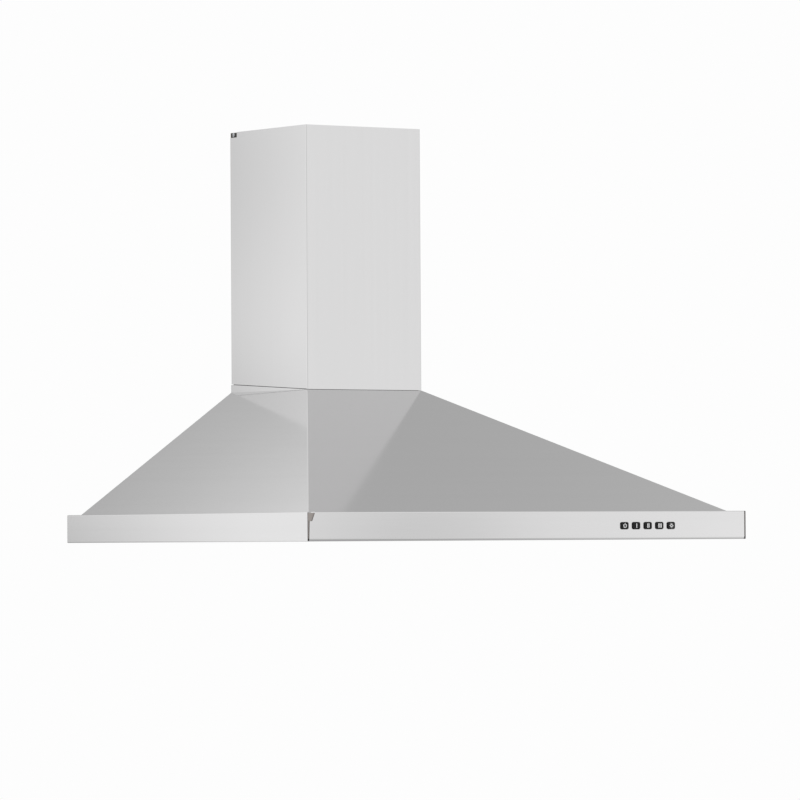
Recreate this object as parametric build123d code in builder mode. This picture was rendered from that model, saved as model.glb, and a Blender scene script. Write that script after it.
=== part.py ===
from build123d import *

import os
from math import asin, degrees, hypot, sqrt

# A wall-mounted chimney range hood, 600 mm wide.
# Frame: +Z up, +Y towards the wall, the front at -Y. The origin is the centre of the
# bottom rim, so the hood stands on z = 0. Every size is in millimetres.

# ---------------------------------------------------------------- driving dimensions

# Canopy
canopy_width = 600.0
canopy_depth = 498.5  # from the fascia's face to the wall
band_height = 32.0
slope_rise = 143.0
side_ledge = 12.0  # from the band's face in to the foot of the side slope
front_ledge = 16.0
wall_gap = 10.0  # the rear panel and the chimney stand this far off the wall
sheet = 0.8
lap_gap = 0.1  # between two sheets that lap
seat_gap = 0.3  # between a loose piece and its seat

# Bands round the rim
hem_width = 8.0  # the band's top edge, folded in over the ledge
side_lip = 14.0  # the band's bottom edge, folded in
front_lip = 30.0
fold_radius = 1.1
front_fold_radius = 3.0
tuck_height = 6.5  # the canopy's edge, folded down behind the bands
return_width = 16.0  # the side band's front end, folded in behind the fascia
left_seam = 2.4
right_seam = 1.2
seam_taper = 0.9
corner_notch_width = 7.0
corner_notch_foot = 3.0
corner_notch_height = 10.0

# Rear panel and what hangs it
rear_lip = 14.0
hook_spacing = 190.0
hook_width = 36.0
hook_height = 40.0
hook_z = 100.0  # the hook's lower edge
hook_sheet = 2.0
hook_lip_height = 10.0
hook_hole_radius = 3.0
hook_slot_margin = 2.0
hook_slot_height = 14.0
safety_hole_spacing = 420.0
safety_hole_z = 48.0
safety_hole_radius = 2.5

# Chimney
chimney_width = 160.0
chimney_depth = 160.0
chimney_height = 305.0
chimney_corner = 1.2
chimney_flange = 16.0
collar_rise = 9.0  # the neck's side walls rise this much towards the wall
collar_gap = 0.7  # the dark line between the neck's side walls and the chimney
spigot_height = 25.0
telescope_gap = 2.0
extension_drop = 2.0  # the extension's top edge lies this far below the chimney's
bracket_sheet = 1.2
bracket_height = 30.0
bracket_ear = 28.0
bracket_set_in = 8.0  # its part behind the chimney is this much narrower, out of sight
bracket_drop = 0.5  # the bracket's top edge lies this far below the chimney's
bracket_hole_spacing = 100.0
bracket_hole_radius = 2.5
corner_relief_depth = 14.0
corner_relief_height = 6.2
fixing_screw_inset = 7.0
fixing_screw_drop = 3.3
fixing_head_radius = 2.3
fixing_head_height = 1.8
fixing_shank_radius = 1.4

# Pan and filters under the canopy
pan_height = 14.0  # from the lips up to the pan's top
pan_side_inset = 4.0
pan_front_inset = 26.5
pan_rear_gap = 1.5
filter_side_margin = 49.0  # from the side band's face to the filter's side
filter_thickness = 9.0
filter_gap = 6.0  # between the two filters, for their hinge ears
filter_lamp_gap = 10.0
filter_rear_margin = 68.5  # from the filters' rear edge to the pan's
filter_rim = 12.0
filter_lap = 6.0
filter_headroom = 0.9
filter_corner = 3.0
mesh_thickness = 2.0
mesh_diamond_length = 31.0
mesh_diamond_width = 12.0
mesh_strand = 2.4
hinge_inset = 2.5
hinge_pin_radius = 1.5
hinge_clearance = 0.07
hinge_pin_reach = 2.2
hinge_pin_root = 5.0
hinge_ear_thickness = 1.5
hinge_ear_gap = 0.5
hinge_ear_width = 9.0
latch_rail = 30.0
latch_inset = 6.0  # from the frame's front edge to the latch's pocket
latch_width = 50.0
latch_length = 12.0
latch_height = 5.0
latch_travel = 5.0
latch_clearance = 0.25
thumb_slot_width = 30.0
thumb_slot_height = 6.0
thumb_slot_depth = 2.5
tongue_width = 26.0
tongue_height = 2.4
tongue_reach = 3.0
catch_thickness = 1.5
catch_width = 34.0
catch_foot = 10.0
catch_drop = 7.5

# Lamps
lamp_side_inset = 110.0  # from the side band's face to the lamp's centre
lamp_inset = 68.5  # from the fascia's face back to the lamps' centres
lamp_ring_radius = 32.0
lamp_ring_thickness = 1.6
lamp_tube_radius = 27.0
lamp_tube_height = 16.0
lamp_wall = 1.6
lamp_window_radius = 23.0
lens_thickness = 2.0
lamp_board = 1.0
heat_sink_radius = 22.0
heat_sink_height = 9.0
heat_sink_fins = 7
heat_sink_slot = 2.2

# Buttons and switch
button_count = 5
button_spacing = 16.35
button_first_x = 127.5
button_z = 15.6
button_width = 10.4
button_height = 8.0
button_corner = 1.9
button_proud = 1.5
button_travel = 2.5
button_clearance = 0.2
button_shoulder = 0.9
button_shoulder_thickness = 1.0
switch_gap = 1.0  # left behind a button that is pushed right in
switch_corner = 1.0
stem_size = 4.0
stem_length = 9.0
switch_end = 12.0
switch_height = 12.0
switch_depth = 17.0
switch_bracket_sheet = 1.2

# Top plate, fan housing and outlet
plate_sheet = 1.2
plate_rise = 1.0  # above the neck's shoulder
plate_flange = 15.0
duct_radius = 60.0
duct_wall = 2.0
collar_height = 48.0
collar_flange_margin = 4.0
collar_flange_sheet = 2.0
collar_screw_margin = 1.0  # from a screw's head to the flange's edge
housing_width = 100.0
housing_wall = 1.8
outlet_width = 93.0
scroll_radius = 64.0
scroll_step = 8.0
inlet_radius = 47.0
inlet_ring_width = 3.5
inlet_ring_thickness = 3.0
inlet_ring_lip = 1.0  # over the housing's edge
fan_radius = 54.0
fan_length = 86.0
fan_ring_width = 11.0
fan_ring_thickness = 2.0
blade_count = 36
blade_thickness = 1.2
blade_angle = 28.0
blade_inset = 1.0  # from the rings' edges
hub_radius = 10.0
hub_length = 22.0
shaft_radius = 4.0
shaft_clearance = 0.05
shaft_hole_gap = 1.0
motor_radius = 38.0
motor_length = 40.0
motor_wall = 1.6
bearing_radius = 9.0
bearing_width = 5.0
bearing_boss = 12.5
stator_depth = 14.0
stator_length = 20.0
rotor_overhang = 1.0
air_gap = 0.4
motor_mount_sheet = 1.6
mount_arm_width = 13.0
mount_circle_radius = 56.0
mount_arms = 3
mount_turn = 90.0  # one arm points up
bush_radius = 5.0
bush_length = 6.0
screw_radius = 2.0
screw_head_radius = 3.6
screw_head_height = 2.4
screw_depth = 6.0

# Back-draught flaps in the outlet
damper_height = 16.0  # above the collar's flange
damper_pin_radius = 1.5
damper_clearance = 0.08
damper_thickness = 1.5
damper_edge_gap = 0.7
knuckle_radius = 2.7
knuckle_length = 18.0
knuckle_gap = 1.0
stop_width = 3.0
stop_thickness = 2.0

# Electrics
box_width = 70.0
box_height = 46.0
box_depth = 30.0
box_wall = 2.0
box_corner = 2.0
box_left_x = -124.0
box_z = 58.0
lid_thickness = 2.0
capacitor_radius = 15.0
capacitor_length = 50.0
capacitor_x = 130.0
capacitor_z = 66.0
capacitor_edge = 2.0
capacitor_stud_radius = 4.0
capacitor_stud_gap = 2.0  # from the stud's end to the wall
capacitor_nut_radius = 7.2
capacitor_nut_height = 4.0
gland_x = -64.0
gland_y_inset = 8.6
gland_head_radius = 8.0
gland_head_height = 12.0
gland_hex_height = 4.8
gland_dome_radius = 6.5
gland_thread_radius = 6.0
gland_thread_length = 11.0
gland_nut_height = 4.0
gland_bore_radius = 3.8
lead_radius = 3.5
harness_radius = 3.0
clip_width = 8.0
clip_wall = 1.0
clip_foot = 8.0
clip_front_step = 80.0  # from the lamps back to the first clip
clip_rear_step = 90.0  # from the rear panel forward to the last clip
harness_lane_inset = 26.0  # from the pan's side in to the harness's straight run
harness_turn_y = 60.0  # from the rear panel forward to the harness's turn
harness_turn_x = 60.0  # from the straight run in to the end of that turn
harness_turn_rise = 7.0
harness_rise_far = 74.0  # from the box out to where the harness starts to rise
harness_rise_near = 34.0
harness_rise_foot = 13.0

# ---------------------------------------------------------------- derived places

half_width = canopy_width / 2
wall_y = (canopy_depth + button_proud) / 2
front_y = wall_y - canopy_depth
panel_y = wall_y - wall_gap
ledge_top = band_height - sheet
foot_x = half_width - side_ledge
foot_y = front_y + front_ledge
neck_x = chimney_width / 2
neck_y = panel_y - chimney_depth
neck_z = band_height + slope_rise
chimney_base = neck_z + seat_gap
chimney_top = neck_z + chimney_height
slope_height = neck_z - ledge_top
side_run = foot_x - neck_x
front_run = neck_y - foot_y
side_wall = sheet * hypot(side_run, slope_height) / slope_height  # measured level
front_wall = sheet * hypot(front_run, slope_height) / slope_height
return_y = front_y + sheet + lap_gap
ledge_x = half_width - sheet - lap_gap
ledge_y = return_y + sheet + lap_gap
spigot_x = neck_x - sheet - telescope_gap
spigot_y = neck_y + sheet + telescope_gap
extension_base = neck_z + spigot_height + seat_gap
extension_top = chimney_top - extension_drop
bracket_top = chimney_top - bracket_drop
fixing_y = panel_y - fixing_screw_inset
fixing_z = chimney_top - fixing_screw_drop
hook_top = hook_z + hook_height
hook_slot_z = hook_top + seat_gap - hook_slot_height / 2

pan_top = sheet + pan_height
pan_under = pan_top - sheet
pan_x = half_width - pan_side_inset
pan_front = front_y + pan_front_inset
pan_rear = panel_y - pan_rear_gap
lamp_y = front_y + lamp_inset
lamp_spacing = canopy_width - 2 * lamp_side_inset
filter_top = pan_under - filter_headroom
filter_bottom = filter_top - filter_thickness
filter_front = lamp_y + lamp_ring_radius + filter_lamp_gap
filter_rear = pan_rear - filter_rear_margin
filter_length = filter_rear - filter_front
filter_centre_y = (filter_front + filter_rear) / 2
filter_width = half_width - filter_side_margin - filter_gap / 2
filter_spacing = filter_width + filter_gap
hinge_y = filter_rear - hinge_inset
hinge_z = filter_top - filter_thickness / 2
hinge_bore_radius = hinge_pin_radius + hinge_clearance
catch_y = filter_front - tongue_reach - seat_gap

button_xs = [button_first_x + i * button_spacing for i in range(button_count)]
cap_back = front_y + sheet + seat_gap + button_shoulder_thickness
switch_front = cap_back + button_travel + switch_gap
switch_rear = switch_front + switch_depth
switch_x0 = button_xs[0] - switch_end
switch_x1 = button_xs[-1] + switch_end
switch_z0 = button_z - switch_height / 2
switch_z1 = button_z + switch_height / 2

plate_z = neck_z + plate_rise
plate_top = plate_z + plate_sheet
plate_x = spigot_x - sheet - lap_gap
plate_y = spigot_y + sheet + lap_gap
outlet_y = (neck_y + panel_y) / 2
housing_front = outlet_y - housing_width / 2
housing_rear = outlet_y + housing_width / 2
scroll_left = -outlet_width / 2
fan_x = scroll_left + scroll_radius + 2.5 * scroll_step
fan_z = plate_z - scroll_radius - scroll_step / 2
collar_base = plate_top + collar_flange_sheet
damper_z = collar_base + damper_height
bush_front = housing_front - bush_length
mount_front = bush_front - motor_mount_sheet
motor_front = mount_front - motor_length
shaft_front = motor_front + motor_wall
shaft_rear = outlet_y + hub_length / 2
gland_y = panel_y - gland_y_inset
box_front = panel_y - box_depth
box_top = box_z + box_height
mesh_columns = int((filter_width - 2 * filter_rim) / mesh_diamond_length)
mesh_rows = int((filter_length - latch_rail - filter_rim) / mesh_diamond_width)
mesh_diagonal = hypot(mesh_diamond_length, mesh_diamond_width)
mesh_open = 1 - mesh_strand * mesh_diagonal / (mesh_diamond_length * mesh_diamond_width)

os.makedirs("parts", exist_ok=True)


def save(piece, node):
    """Label a finished piece and write it as a STEP file."""
    piece.part.label = node
    export_step(piece.part, f"parts/{node}.step")


def facing(y):
    """The upright plane at depth y, seen from the front: X to the right, Z up."""
    return Plane.XZ.offset(-y)


def block(x0, x1, y0, y1, z0, z1, mode=Mode.ADD):
    """A box between six limits."""
    with Locations(((x0 + x1) / 2, (y0 + y1) / 2, (z0 + z1) / 2)):
        Box(x1 - x0, y1 - y0, z1 - z0, mode=mode)


def plan(x, y0, y1, mode=Mode.ADD):
    """A rectangle in plan, centred on x = 0."""
    with Locations((0, (y0 + y1) / 2)):
        Rectangle(2 * x, y1 - y0, mode=mode)


# ---------------------------------------------------------------- canopy

with BuildPart() as canopy_shell:
    # The sloping hood, open below, above and at the wall
    with BuildSketch(Plane.XY.offset(ledge_top)):
        plan(foot_x, foot_y, panel_y)
    with BuildSketch(Plane.XY.offset(neck_z)):
        plan(neck_x, neck_y, panel_y)
    loft()
    hips = canopy_shell.edges().filter_by(Plane.XY, reverse=True).group_by(Axis.Y)[0]
    fillet(hips, fold_radius)
    with BuildSketch(Plane.XY.offset(ledge_top)):
        plan(foot_x - side_wall, foot_y + front_wall, panel_y)
    with BuildSketch(Plane.XY.offset(neck_z)):
        plan(neck_x - side_wall, neck_y + front_wall, panel_y)
    loft(mode=Mode.SUBTRACT)
    # The level ledge at the foot of the slopes
    with BuildSketch(Plane.XY.offset(ledge_top - sheet)):
        plan(ledge_x, ledge_y, panel_y)
        plan(foot_x - side_wall, foot_y + front_wall, panel_y, Mode.SUBTRACT)
    extrude(amount=sheet)
    # Its edge, folded down behind the bands
    with BuildSketch(Plane.XY.offset(ledge_top - sheet - tuck_height)):
        plan(ledge_x, ledge_y, panel_y)
        plan(ledge_x - sheet, ledge_y + sheet, panel_y, Mode.SUBTRACT)
    extrude(amount=tuck_height)
    # The neck: side walls that rise towards the wall, flush with the chimney
    with BuildSketch(Plane.YZ):
        Polygon([(neck_y, neck_z), (panel_y, neck_z), (panel_y, neck_z + collar_rise)])
    extrude(amount=neck_x, both=True)
    block(sheet - neck_x, neck_x - sheet, neck_y, panel_y, neck_z, neck_z + collar_rise, Mode.SUBTRACT)
    # The shoulder and the spigot that goes up inside the chimney
    with BuildSketch(Plane.XY.offset(neck_z - sheet)):
        plan(neck_x, neck_y, panel_y)
        plan(spigot_x - sheet, spigot_y + sheet, panel_y, Mode.SUBTRACT)
    extrude(amount=sheet)
    with BuildSketch(Plane.XY.offset(neck_z - sheet)):
        plan(spigot_x, spigot_y, panel_y)
        plan(spigot_x - sheet, spigot_y + sheet, panel_y, Mode.SUBTRACT)
    extrude(amount=sheet + spigot_height)
save(canopy_shell, "canopy_shell")

fascia_left = sheet + left_seam - half_width - seam_taper
fascia_right = half_width - sheet - right_seam
button_hole_width = button_width + 2 * button_clearance
button_hole_height = button_height + 2 * button_clearance

with BuildPart() as front_fascia:
    with BuildSketch(Plane.YZ.offset(fascia_left)) as section:
        Polygon([
            (front_y, 0),
            (front_y + front_lip, 0),
            (front_y + front_lip, sheet),
            (front_y + sheet, sheet),
            (front_y + sheet, ledge_top),
            (front_y + hem_width, ledge_top),
            (front_y + hem_width, band_height),
            (front_y, band_height),
        ])
        fillet(section.vertices().group_by(Axis.X)[1].sort_by(Axis.Y)[0], front_fold_radius - sheet)
        fillet(section.vertices().group_by(Axis.X)[0].sort_by(Axis.Y)[0], front_fold_radius)
        fillet(section.vertices().group_by(Axis.X)[0].sort_by(Axis.Y)[-1], fold_radius)
    extrude(amount=fascia_right - fascia_left)
    with BuildSketch(facing(front_y)):
        for x in button_xs:
            with Locations((x, button_z)):
                RectangleRounded(button_hole_width, button_hole_height, button_corner)
    extrude(amount=-sheet, mode=Mode.SUBTRACT)
    # The left end leans: its seam is wider at the top
    with BuildSketch(facing(front_y)):
        Polygon([
            (fascia_left, 0),
            (fascia_left + seam_taper, band_height),
            (fascia_left, band_height),
        ])
    extrude(amount=-front_lip, mode=Mode.SUBTRACT)
    # The folded corner shows through a tapered notch
    with BuildSketch(facing(front_y)):
        Polygon([
            (fascia_left, band_height),
            (fascia_left + seam_taper + corner_notch_width, band_height),
            (fascia_left + seam_taper + corner_notch_foot, band_height - corner_notch_height),
            (fascia_left, band_height - corner_notch_height),
        ])
    extrude(amount=-hem_width, mode=Mode.SUBTRACT)
save(front_fascia, "front_fascia")

with BuildPart() as side_band_left:
    with BuildSketch(facing(front_y)) as section:
        Polygon([
            (-half_width, 0),
            (side_lip - half_width, 0),
            (side_lip - half_width, sheet),
            (sheet - half_width, sheet),
            (sheet - half_width, ledge_top),
            (hem_width - half_width, ledge_top),
            (hem_width - half_width, band_height),
            (-half_width, band_height),
        ])
        face_corners = section.vertices().group_by(Axis.X)[0]
        fillet(face_corners, fold_radius)
    extrude(amount=-canopy_depth)
    # Room for the fascia's lip and hem at the front corner
    inner_x = sheet - half_width
    lip_x = side_lip - half_width
    block(inner_x, lip_x, front_y, front_y + front_lip + lap_gap, 0, sheet, Mode.SUBTRACT)
    block(inner_x, lip_x, front_y, front_y + hem_width + lap_gap, ledge_top, band_height, Mode.SUBTRACT)
    # The front end is folded in behind the fascia, the rear end against the wall
    return_low, return_top = front_fold_radius + lap_gap, ledge_top - lap_gap
    block(inner_x, inner_x + return_width, return_y, return_y + sheet, return_low, return_top)
    block(inner_x, lip_x, wall_y - sheet, wall_y, sheet, ledge_top)
save(side_band_left, "side_band_left")

with BuildPart() as side_band_right:
    mirror(side_band_left.part, about=Plane.YZ)
save(side_band_right, "side_band_right")

panel_x = half_width - sheet - lap_gap
rear_lip_x = half_width - side_lip - lap_gap

with BuildPart() as rear_panel:
    with BuildSketch(facing(panel_y)):
        Polygon([
            (-panel_x, sheet + lap_gap),
            (panel_x, sheet + lap_gap),
            (panel_x, ledge_top - lap_gap),
            (foot_x, ledge_top),
            (neck_x, neck_z),
            (neck_x, neck_z + collar_rise),
            (-neck_x, neck_z + collar_rise),
            (-neck_x, neck_z),
            (-foot_x, ledge_top),
            (-panel_x, ledge_top - lap_gap),
        ])
    extrude(amount=-sheet)
    block(-rear_lip_x, rear_lip_x, panel_y, panel_y + sheet, 0, 2 * sheet)
    block(-rear_lip_x, rear_lip_x, panel_y - rear_lip, panel_y, 0, sheet)
    with BuildSketch(facing(panel_y)):
        with Locations((0, hook_slot_z)):
            with GridLocations(hook_spacing, 1, 2, 1):
                Rectangle(hook_width + 2 * hook_slot_margin, hook_slot_height)
        with Locations((0, safety_hole_z)):
            with GridLocations(safety_hole_spacing, 1, 2, 1):
                Circle(safety_hole_radius)
        with Locations((capacitor_x, capacitor_z)):
            Circle(capacitor_stud_radius + lap_gap)
    extrude(amount=-sheet, mode=Mode.SUBTRACT)
save(rear_panel, "rear_panel")

hook_tongue_y = panel_y - seat_gap - hook_sheet

with BuildPart() as wall_hooks:
    for side in (-1, 1):
        with BuildSketch(Plane.YZ.offset(side * hook_spacing / 2 - hook_width / 2)):
            Polygon([
                (wall_y, hook_z),
                (wall_y, hook_top),
                (hook_tongue_y + hook_sheet, hook_top),
                (hook_tongue_y + hook_sheet, hook_top + hook_lip_height),
                (hook_tongue_y, hook_top + hook_lip_height),
                (hook_tongue_y, hook_top - hook_sheet),
                (wall_y - hook_sheet, hook_top - hook_sheet),
                (wall_y - hook_sheet, hook_z),
            ])
        extrude(amount=hook_width)
    with BuildSketch(facing(wall_y - hook_sheet)):
        with Locations((0, hook_z + hook_height / 2)):
            with GridLocations(hook_spacing, 1, 2, 1):
                Circle(hook_hole_radius)
    extrude(amount=-hook_sheet, mode=Mode.SUBTRACT)
save(wall_hooks, "wall_hooks")

# ---------------------------------------------------------------- chimney


def chimney_section(sketch, x, y0, y1):
    """The plan of a folded chimney section, open at the wall between two flanges."""
    plan(x, y0, y1)
    fillet(sketch.vertices().group_by(Axis.Y)[0], chimney_corner)
    plan(x - sheet, y0 + sheet, y1 - sheet, Mode.SUBTRACT)
    plan(x - chimney_flange, y1 - sheet, y1, Mode.SUBTRACT)


with BuildPart() as chimney_cover:
    with BuildSketch(Plane.XY.offset(chimney_base)) as section:
        chimney_section(section, neck_x, neck_y, panel_y)
    extrude(amount=chimney_top - chimney_base)
    # The side walls' lower edge follows the neck, a dark line above it
    with BuildSketch(Plane.YZ):
        Polygon([
            (neck_y + sheet, neck_z),
            (panel_y, neck_z),
            (panel_y, neck_z + collar_rise + collar_gap),
            (neck_y + sheet, neck_z + collar_gap),
        ])
    extrude(amount=neck_x, both=True, mode=Mode.SUBTRACT)
    # Relief at the top rear corners, for the wall bracket's ears and screws
    relief_y = panel_y - corner_relief_depth
    relief_z = chimney_top - corner_relief_height
    block(-neck_x, neck_x, relief_y, panel_y, relief_z, chimney_top, Mode.SUBTRACT)
    # The wall flanges stop short of the bracket and of the neck's spigot
    flange_z = bracket_top - bracket_height - seat_gap
    flange_x = neck_x - sheet
    block(-flange_x, flange_x, panel_y - sheet, panel_y, flange_z, chimney_top, Mode.SUBTRACT)
    block(-flange_x, flange_x, panel_y - sheet, panel_y, chimney_base, extension_base, Mode.SUBTRACT)
save(chimney_cover, "chimney_cover")

with BuildPart() as chimney_extension:
    with BuildSketch(Plane.XY.offset(extension_base)) as section:
        chimney_section(section, spigot_x, spigot_y, panel_y - sheet - seat_gap)
    extrude(amount=extension_top - extension_base)
save(chimney_extension, "chimney_extension")

ear_x = neck_x - sheet - lap_gap
ear_front = wall_y - bracket_ear
web_x = neck_x - bracket_set_in

with BuildPart() as chimney_bracket:
    # Its right half: the plate on the wall, the web and the step out to the ear
    bracket_low = bracket_top - bracket_height
    step_y = panel_y - sheet
    with BuildSketch(Plane.XY.offset(bracket_low)):
        Polygon([
            (0, wall_y),
            (0, wall_y - bracket_sheet),
            (web_x - bracket_sheet, wall_y - bracket_sheet),
            (web_x - bracket_sheet, step_y),
            (ear_x - bracket_sheet, step_y),
            (ear_x - bracket_sheet, ear_front),
            (ear_x, ear_front),
            (ear_x, step_y + bracket_sheet),
            (web_x, step_y + bracket_sheet),
            (web_x, wall_y),
        ])
    extrude(amount=bracket_height)
    with BuildSketch(facing(wall_y - bracket_sheet)):
        with Locations((bracket_hole_spacing / 2, bracket_top - bracket_height / 2)):
            Circle(bracket_hole_radius)
    extrude(amount=-bracket_sheet, mode=Mode.SUBTRACT)
    with BuildSketch(Plane.YZ.offset(ear_x - bracket_sheet)):
        with Locations((fixing_y, fixing_z)):
            Circle(fixing_shank_radius)
    extrude(amount=bracket_sheet, mode=Mode.SUBTRACT)
    mirror(about=Plane.YZ)
save(chimney_bracket, "chimney_bracket")

with BuildPart() as chimney_screws:
    for side in (-1, 1):
        tip = side * (ear_x - bracket_sheet)
        with BuildSketch(Plane.YZ.offset(tip)):
            with Locations((fixing_y, fixing_z)):
                Circle(fixing_shank_radius - lap_gap / 2)
        extrude(amount=side * bracket_sheet)
        with BuildSketch(Plane.YZ.offset(side * ear_x)):
            with Locations((fixing_y, fixing_z)):
                Circle(fixing_head_radius)
        extrude(amount=side * fixing_head_height)
    rims = chimney_screws.edges().filter_by(GeomType.CIRCLE).group_by(SortBy.RADIUS)[-1]
    fillet(rims.group_by(Axis.X)[0] + rims.group_by(Axis.X)[-1], fixing_head_height / 3)
save(chimney_screws, "chimney_screws")

# ---------------------------------------------------------------- pan and filters

with BuildPart() as under_pan:
    block(-pan_x, pan_x, pan_front, pan_rear, sheet, pan_top)
    inner_pan_x = pan_x - sheet
    block(-inner_pan_x, inner_pan_x, pan_front + sheet, pan_rear - sheet, sheet, pan_under, Mode.SUBTRACT)
    with BuildSketch(Plane.XY.offset(pan_under)):
        with Locations((0, filter_centre_y)):
            with GridLocations(filter_spacing, 1, 2, 1):
                Rectangle(filter_width - 2 * filter_lap, filter_length - 2 * filter_lap)
        with Locations((0, lamp_y)):
            with GridLocations(lamp_spacing, 1, 2, 1):
                Circle(lamp_tube_radius + lap_gap)
    extrude(amount=sheet, mode=Mode.SUBTRACT)
save(under_pan, "under_pan")

latch_pocket = latch_length + latch_travel + 2 * latch_clearance
latch_y0 = filter_front + latch_inset
window_y0 = filter_front + latch_rail
window_y1 = filter_rear - filter_rim
window_y = (window_y0 + window_y1) / 2
window_length = window_y1 - window_y0
window_width = filter_width - 2 * filter_rim
pocket_y = latch_y0 + latch_pocket / 2
tongue_z = filter_bottom + latch_height / 2


def filter_frame(x):
    """The aluminium rim of one filter, with the latch's pocket in its front rail."""
    with BuildPart() as frame:
        with BuildSketch(Plane.XY.offset(filter_bottom)):
            with Locations((x, filter_centre_y)):
                RectangleRounded(filter_width, filter_length, filter_corner)
            with Locations((x, window_y)):
                Rectangle(window_width, window_length, mode=Mode.SUBTRACT)
        extrude(amount=filter_thickness)
        with BuildSketch(Plane.XY.offset(filter_bottom)):
            with Locations((x, pocket_y)):
                Rectangle(latch_width + 2 * latch_clearance, latch_pocket)
        extrude(amount=latch_height + latch_clearance, mode=Mode.SUBTRACT)
        # The slot that the tongue comes out of
        slot_half = tongue_width / 2 + latch_clearance
        slot_z0 = tongue_z - tongue_height / 2 - latch_clearance
        slot_z1 = tongue_z + tongue_height / 2 + latch_clearance
        block(x - slot_half, x + slot_half, filter_front, latch_y0, slot_z0, slot_z1, Mode.SUBTRACT)
        # Blind holes for the hinge pins
        with BuildSketch(Plane.YZ.offset(x - filter_width / 2)):
            with Locations((hinge_y, hinge_z)):
                Circle(hinge_bore_radius)
        extrude(amount=hinge_pin_root, mode=Mode.SUBTRACT)
        with BuildSketch(Plane.YZ.offset(x + filter_width / 2)):
            with Locations((hinge_y, hinge_z)):
                Circle(hinge_bore_radius)
        extrude(amount=-hinge_pin_root, mode=Mode.SUBTRACT)
    return frame


def filter_mesh(x):
    """The expanded sheet that carries one filter's finer layers: long diamonds in staggered rows."""
    half_length, half_opening = mesh_open * mesh_diamond_length / 2, mesh_open * mesh_diamond_width / 2
    diamond = [(-half_length, 0), (0, -half_opening), (half_length, 0), (0, half_opening)]
    with BuildPart() as mesh:
        with BuildSketch(Plane.XY.offset(hinge_z - mesh_thickness / 2)):
            with Locations((x, window_y)):
                Rectangle(window_width, window_length)
                for columns, rows in ((mesh_columns, mesh_rows), (mesh_columns - 1, mesh_rows - 1)):
                    with GridLocations(mesh_diamond_length, mesh_diamond_width, columns, rows):
                        Polygon(diamond, mode=Mode.SUBTRACT)
        extrude(amount=mesh_thickness)
    return mesh


def filter_pins(x):
    """The two pins that one filter swings on."""
    with BuildPart() as pins:
        for side in (-1, 1):
            with BuildSketch(Plane.YZ.offset(x + side * (filter_width / 2 - hinge_pin_root))):
                with Locations((hinge_y, hinge_z)):
                    Circle(hinge_pin_radius)
            extrude(amount=side * (hinge_pin_root + hinge_pin_reach))
    return pins


def filter_latch(x):
    """The sliding catch of one filter: a thumb plate with a tongue."""
    with BuildPart() as latch:
        y0 = latch_y0 + latch_clearance
        block(
            x - latch_width / 2, x + latch_width / 2,
            y0, y0 + latch_length,
            filter_bottom, filter_bottom + latch_height,
        )
        block(
            x - tongue_width / 2, x + tongue_width / 2,
            filter_front - tongue_reach, y0,
            tongue_z - tongue_height / 2, tongue_z + tongue_height / 2,
        )
        with BuildSketch(Plane.XY.offset(filter_bottom)):
            with Locations((x, y0 + latch_length / 2)):
                SlotOverall(thumb_slot_width, thumb_slot_height)
        extrude(amount=thumb_slot_depth, mode=Mode.SUBTRACT)
    return latch


for side, hand in ((-1, "left"), (1, "right")):
    centre_x = side * filter_spacing / 2
    save(filter_frame(centre_x), f"filter_frame_{hand}")
    save(filter_mesh(centre_x), f"filter_mesh_{hand}")
    save(filter_pins(centre_x), f"filter_pins_{hand}")
    save(filter_latch(centre_x), f"filter_latch_{hand}")

with BuildPart() as filter_hinges:
    ear_low = hinge_z - hinge_ear_width / 2
    for centre_x in (-filter_spacing / 2, filter_spacing / 2):
        for side in (-1, 1):
            near = centre_x + side * (filter_width / 2 + hinge_ear_gap)
            with BuildSketch(Plane.YZ.offset(near)):
                with Locations((hinge_y, (ear_low + pan_under) / 2)):
                    Rectangle(hinge_ear_width, pan_under - ear_low)
                with Locations((hinge_y, hinge_z)):
                    Circle(hinge_bore_radius, mode=Mode.SUBTRACT)
            extrude(amount=side * hinge_ear_thickness)
save(filter_hinges, "filter_hinges")

with BuildPart() as latch_catches:
    for centre_x in (-filter_spacing / 2, filter_spacing / 2):
        x0, x1 = centre_x - catch_width / 2, centre_x + catch_width / 2
        block(x0, x1, catch_y - catch_thickness, catch_y, pan_under - catch_drop, pan_under)
        block(x0, x1, catch_y - catch_foot, catch_y, pan_under - catch_thickness, pan_under)
save(latch_catches, "latch_catches")

# ---------------------------------------------------------------- lamps

ring_low = pan_under - lamp_ring_thickness
lens_z = pan_under
sink_z = lens_z + lens_thickness + lamp_board


def lamp_ring(x):
    """One lamp's bezel, with the tube that goes up through the pan."""
    with BuildPart() as ring:
        with BuildSketch(Plane.XY.offset(ring_low)):
            with Locations((x, lamp_y)):
                Circle(lamp_ring_radius)
        extrude(amount=lamp_ring_thickness)
        with BuildSketch(Plane.XY.offset(pan_under)):
            with Locations((x, lamp_y)):
                Circle(lamp_tube_radius)
        extrude(amount=lamp_tube_height)
        with BuildSketch(Plane.XY.offset(ring_low)):
            with Locations((x, lamp_y)):
                Circle(lamp_window_radius)
        extrude(amount=lamp_ring_thickness, mode=Mode.SUBTRACT)
        with BuildSketch(Plane.XY.offset(pan_under)):
            with Locations((x, lamp_y)):
                Circle(lamp_tube_radius - lamp_wall)
        extrude(amount=lamp_tube_height, mode=Mode.SUBTRACT)
        chamfer(ring.edges().filter_by(GeomType.CIRCLE).group_by(Axis.Z)[0], lamp_ring_thickness / 2)
    return ring


def lamp_lens(x):
    """The round glass that lies on the bezel's inner edge."""
    with BuildPart() as lens:
        with BuildSketch(Plane.XY.offset(lens_z)):
            with Locations((x, lamp_y)):
                Circle(lamp_tube_radius - lamp_wall - seat_gap)
        extrude(amount=lens_thickness)
    return lens


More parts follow.
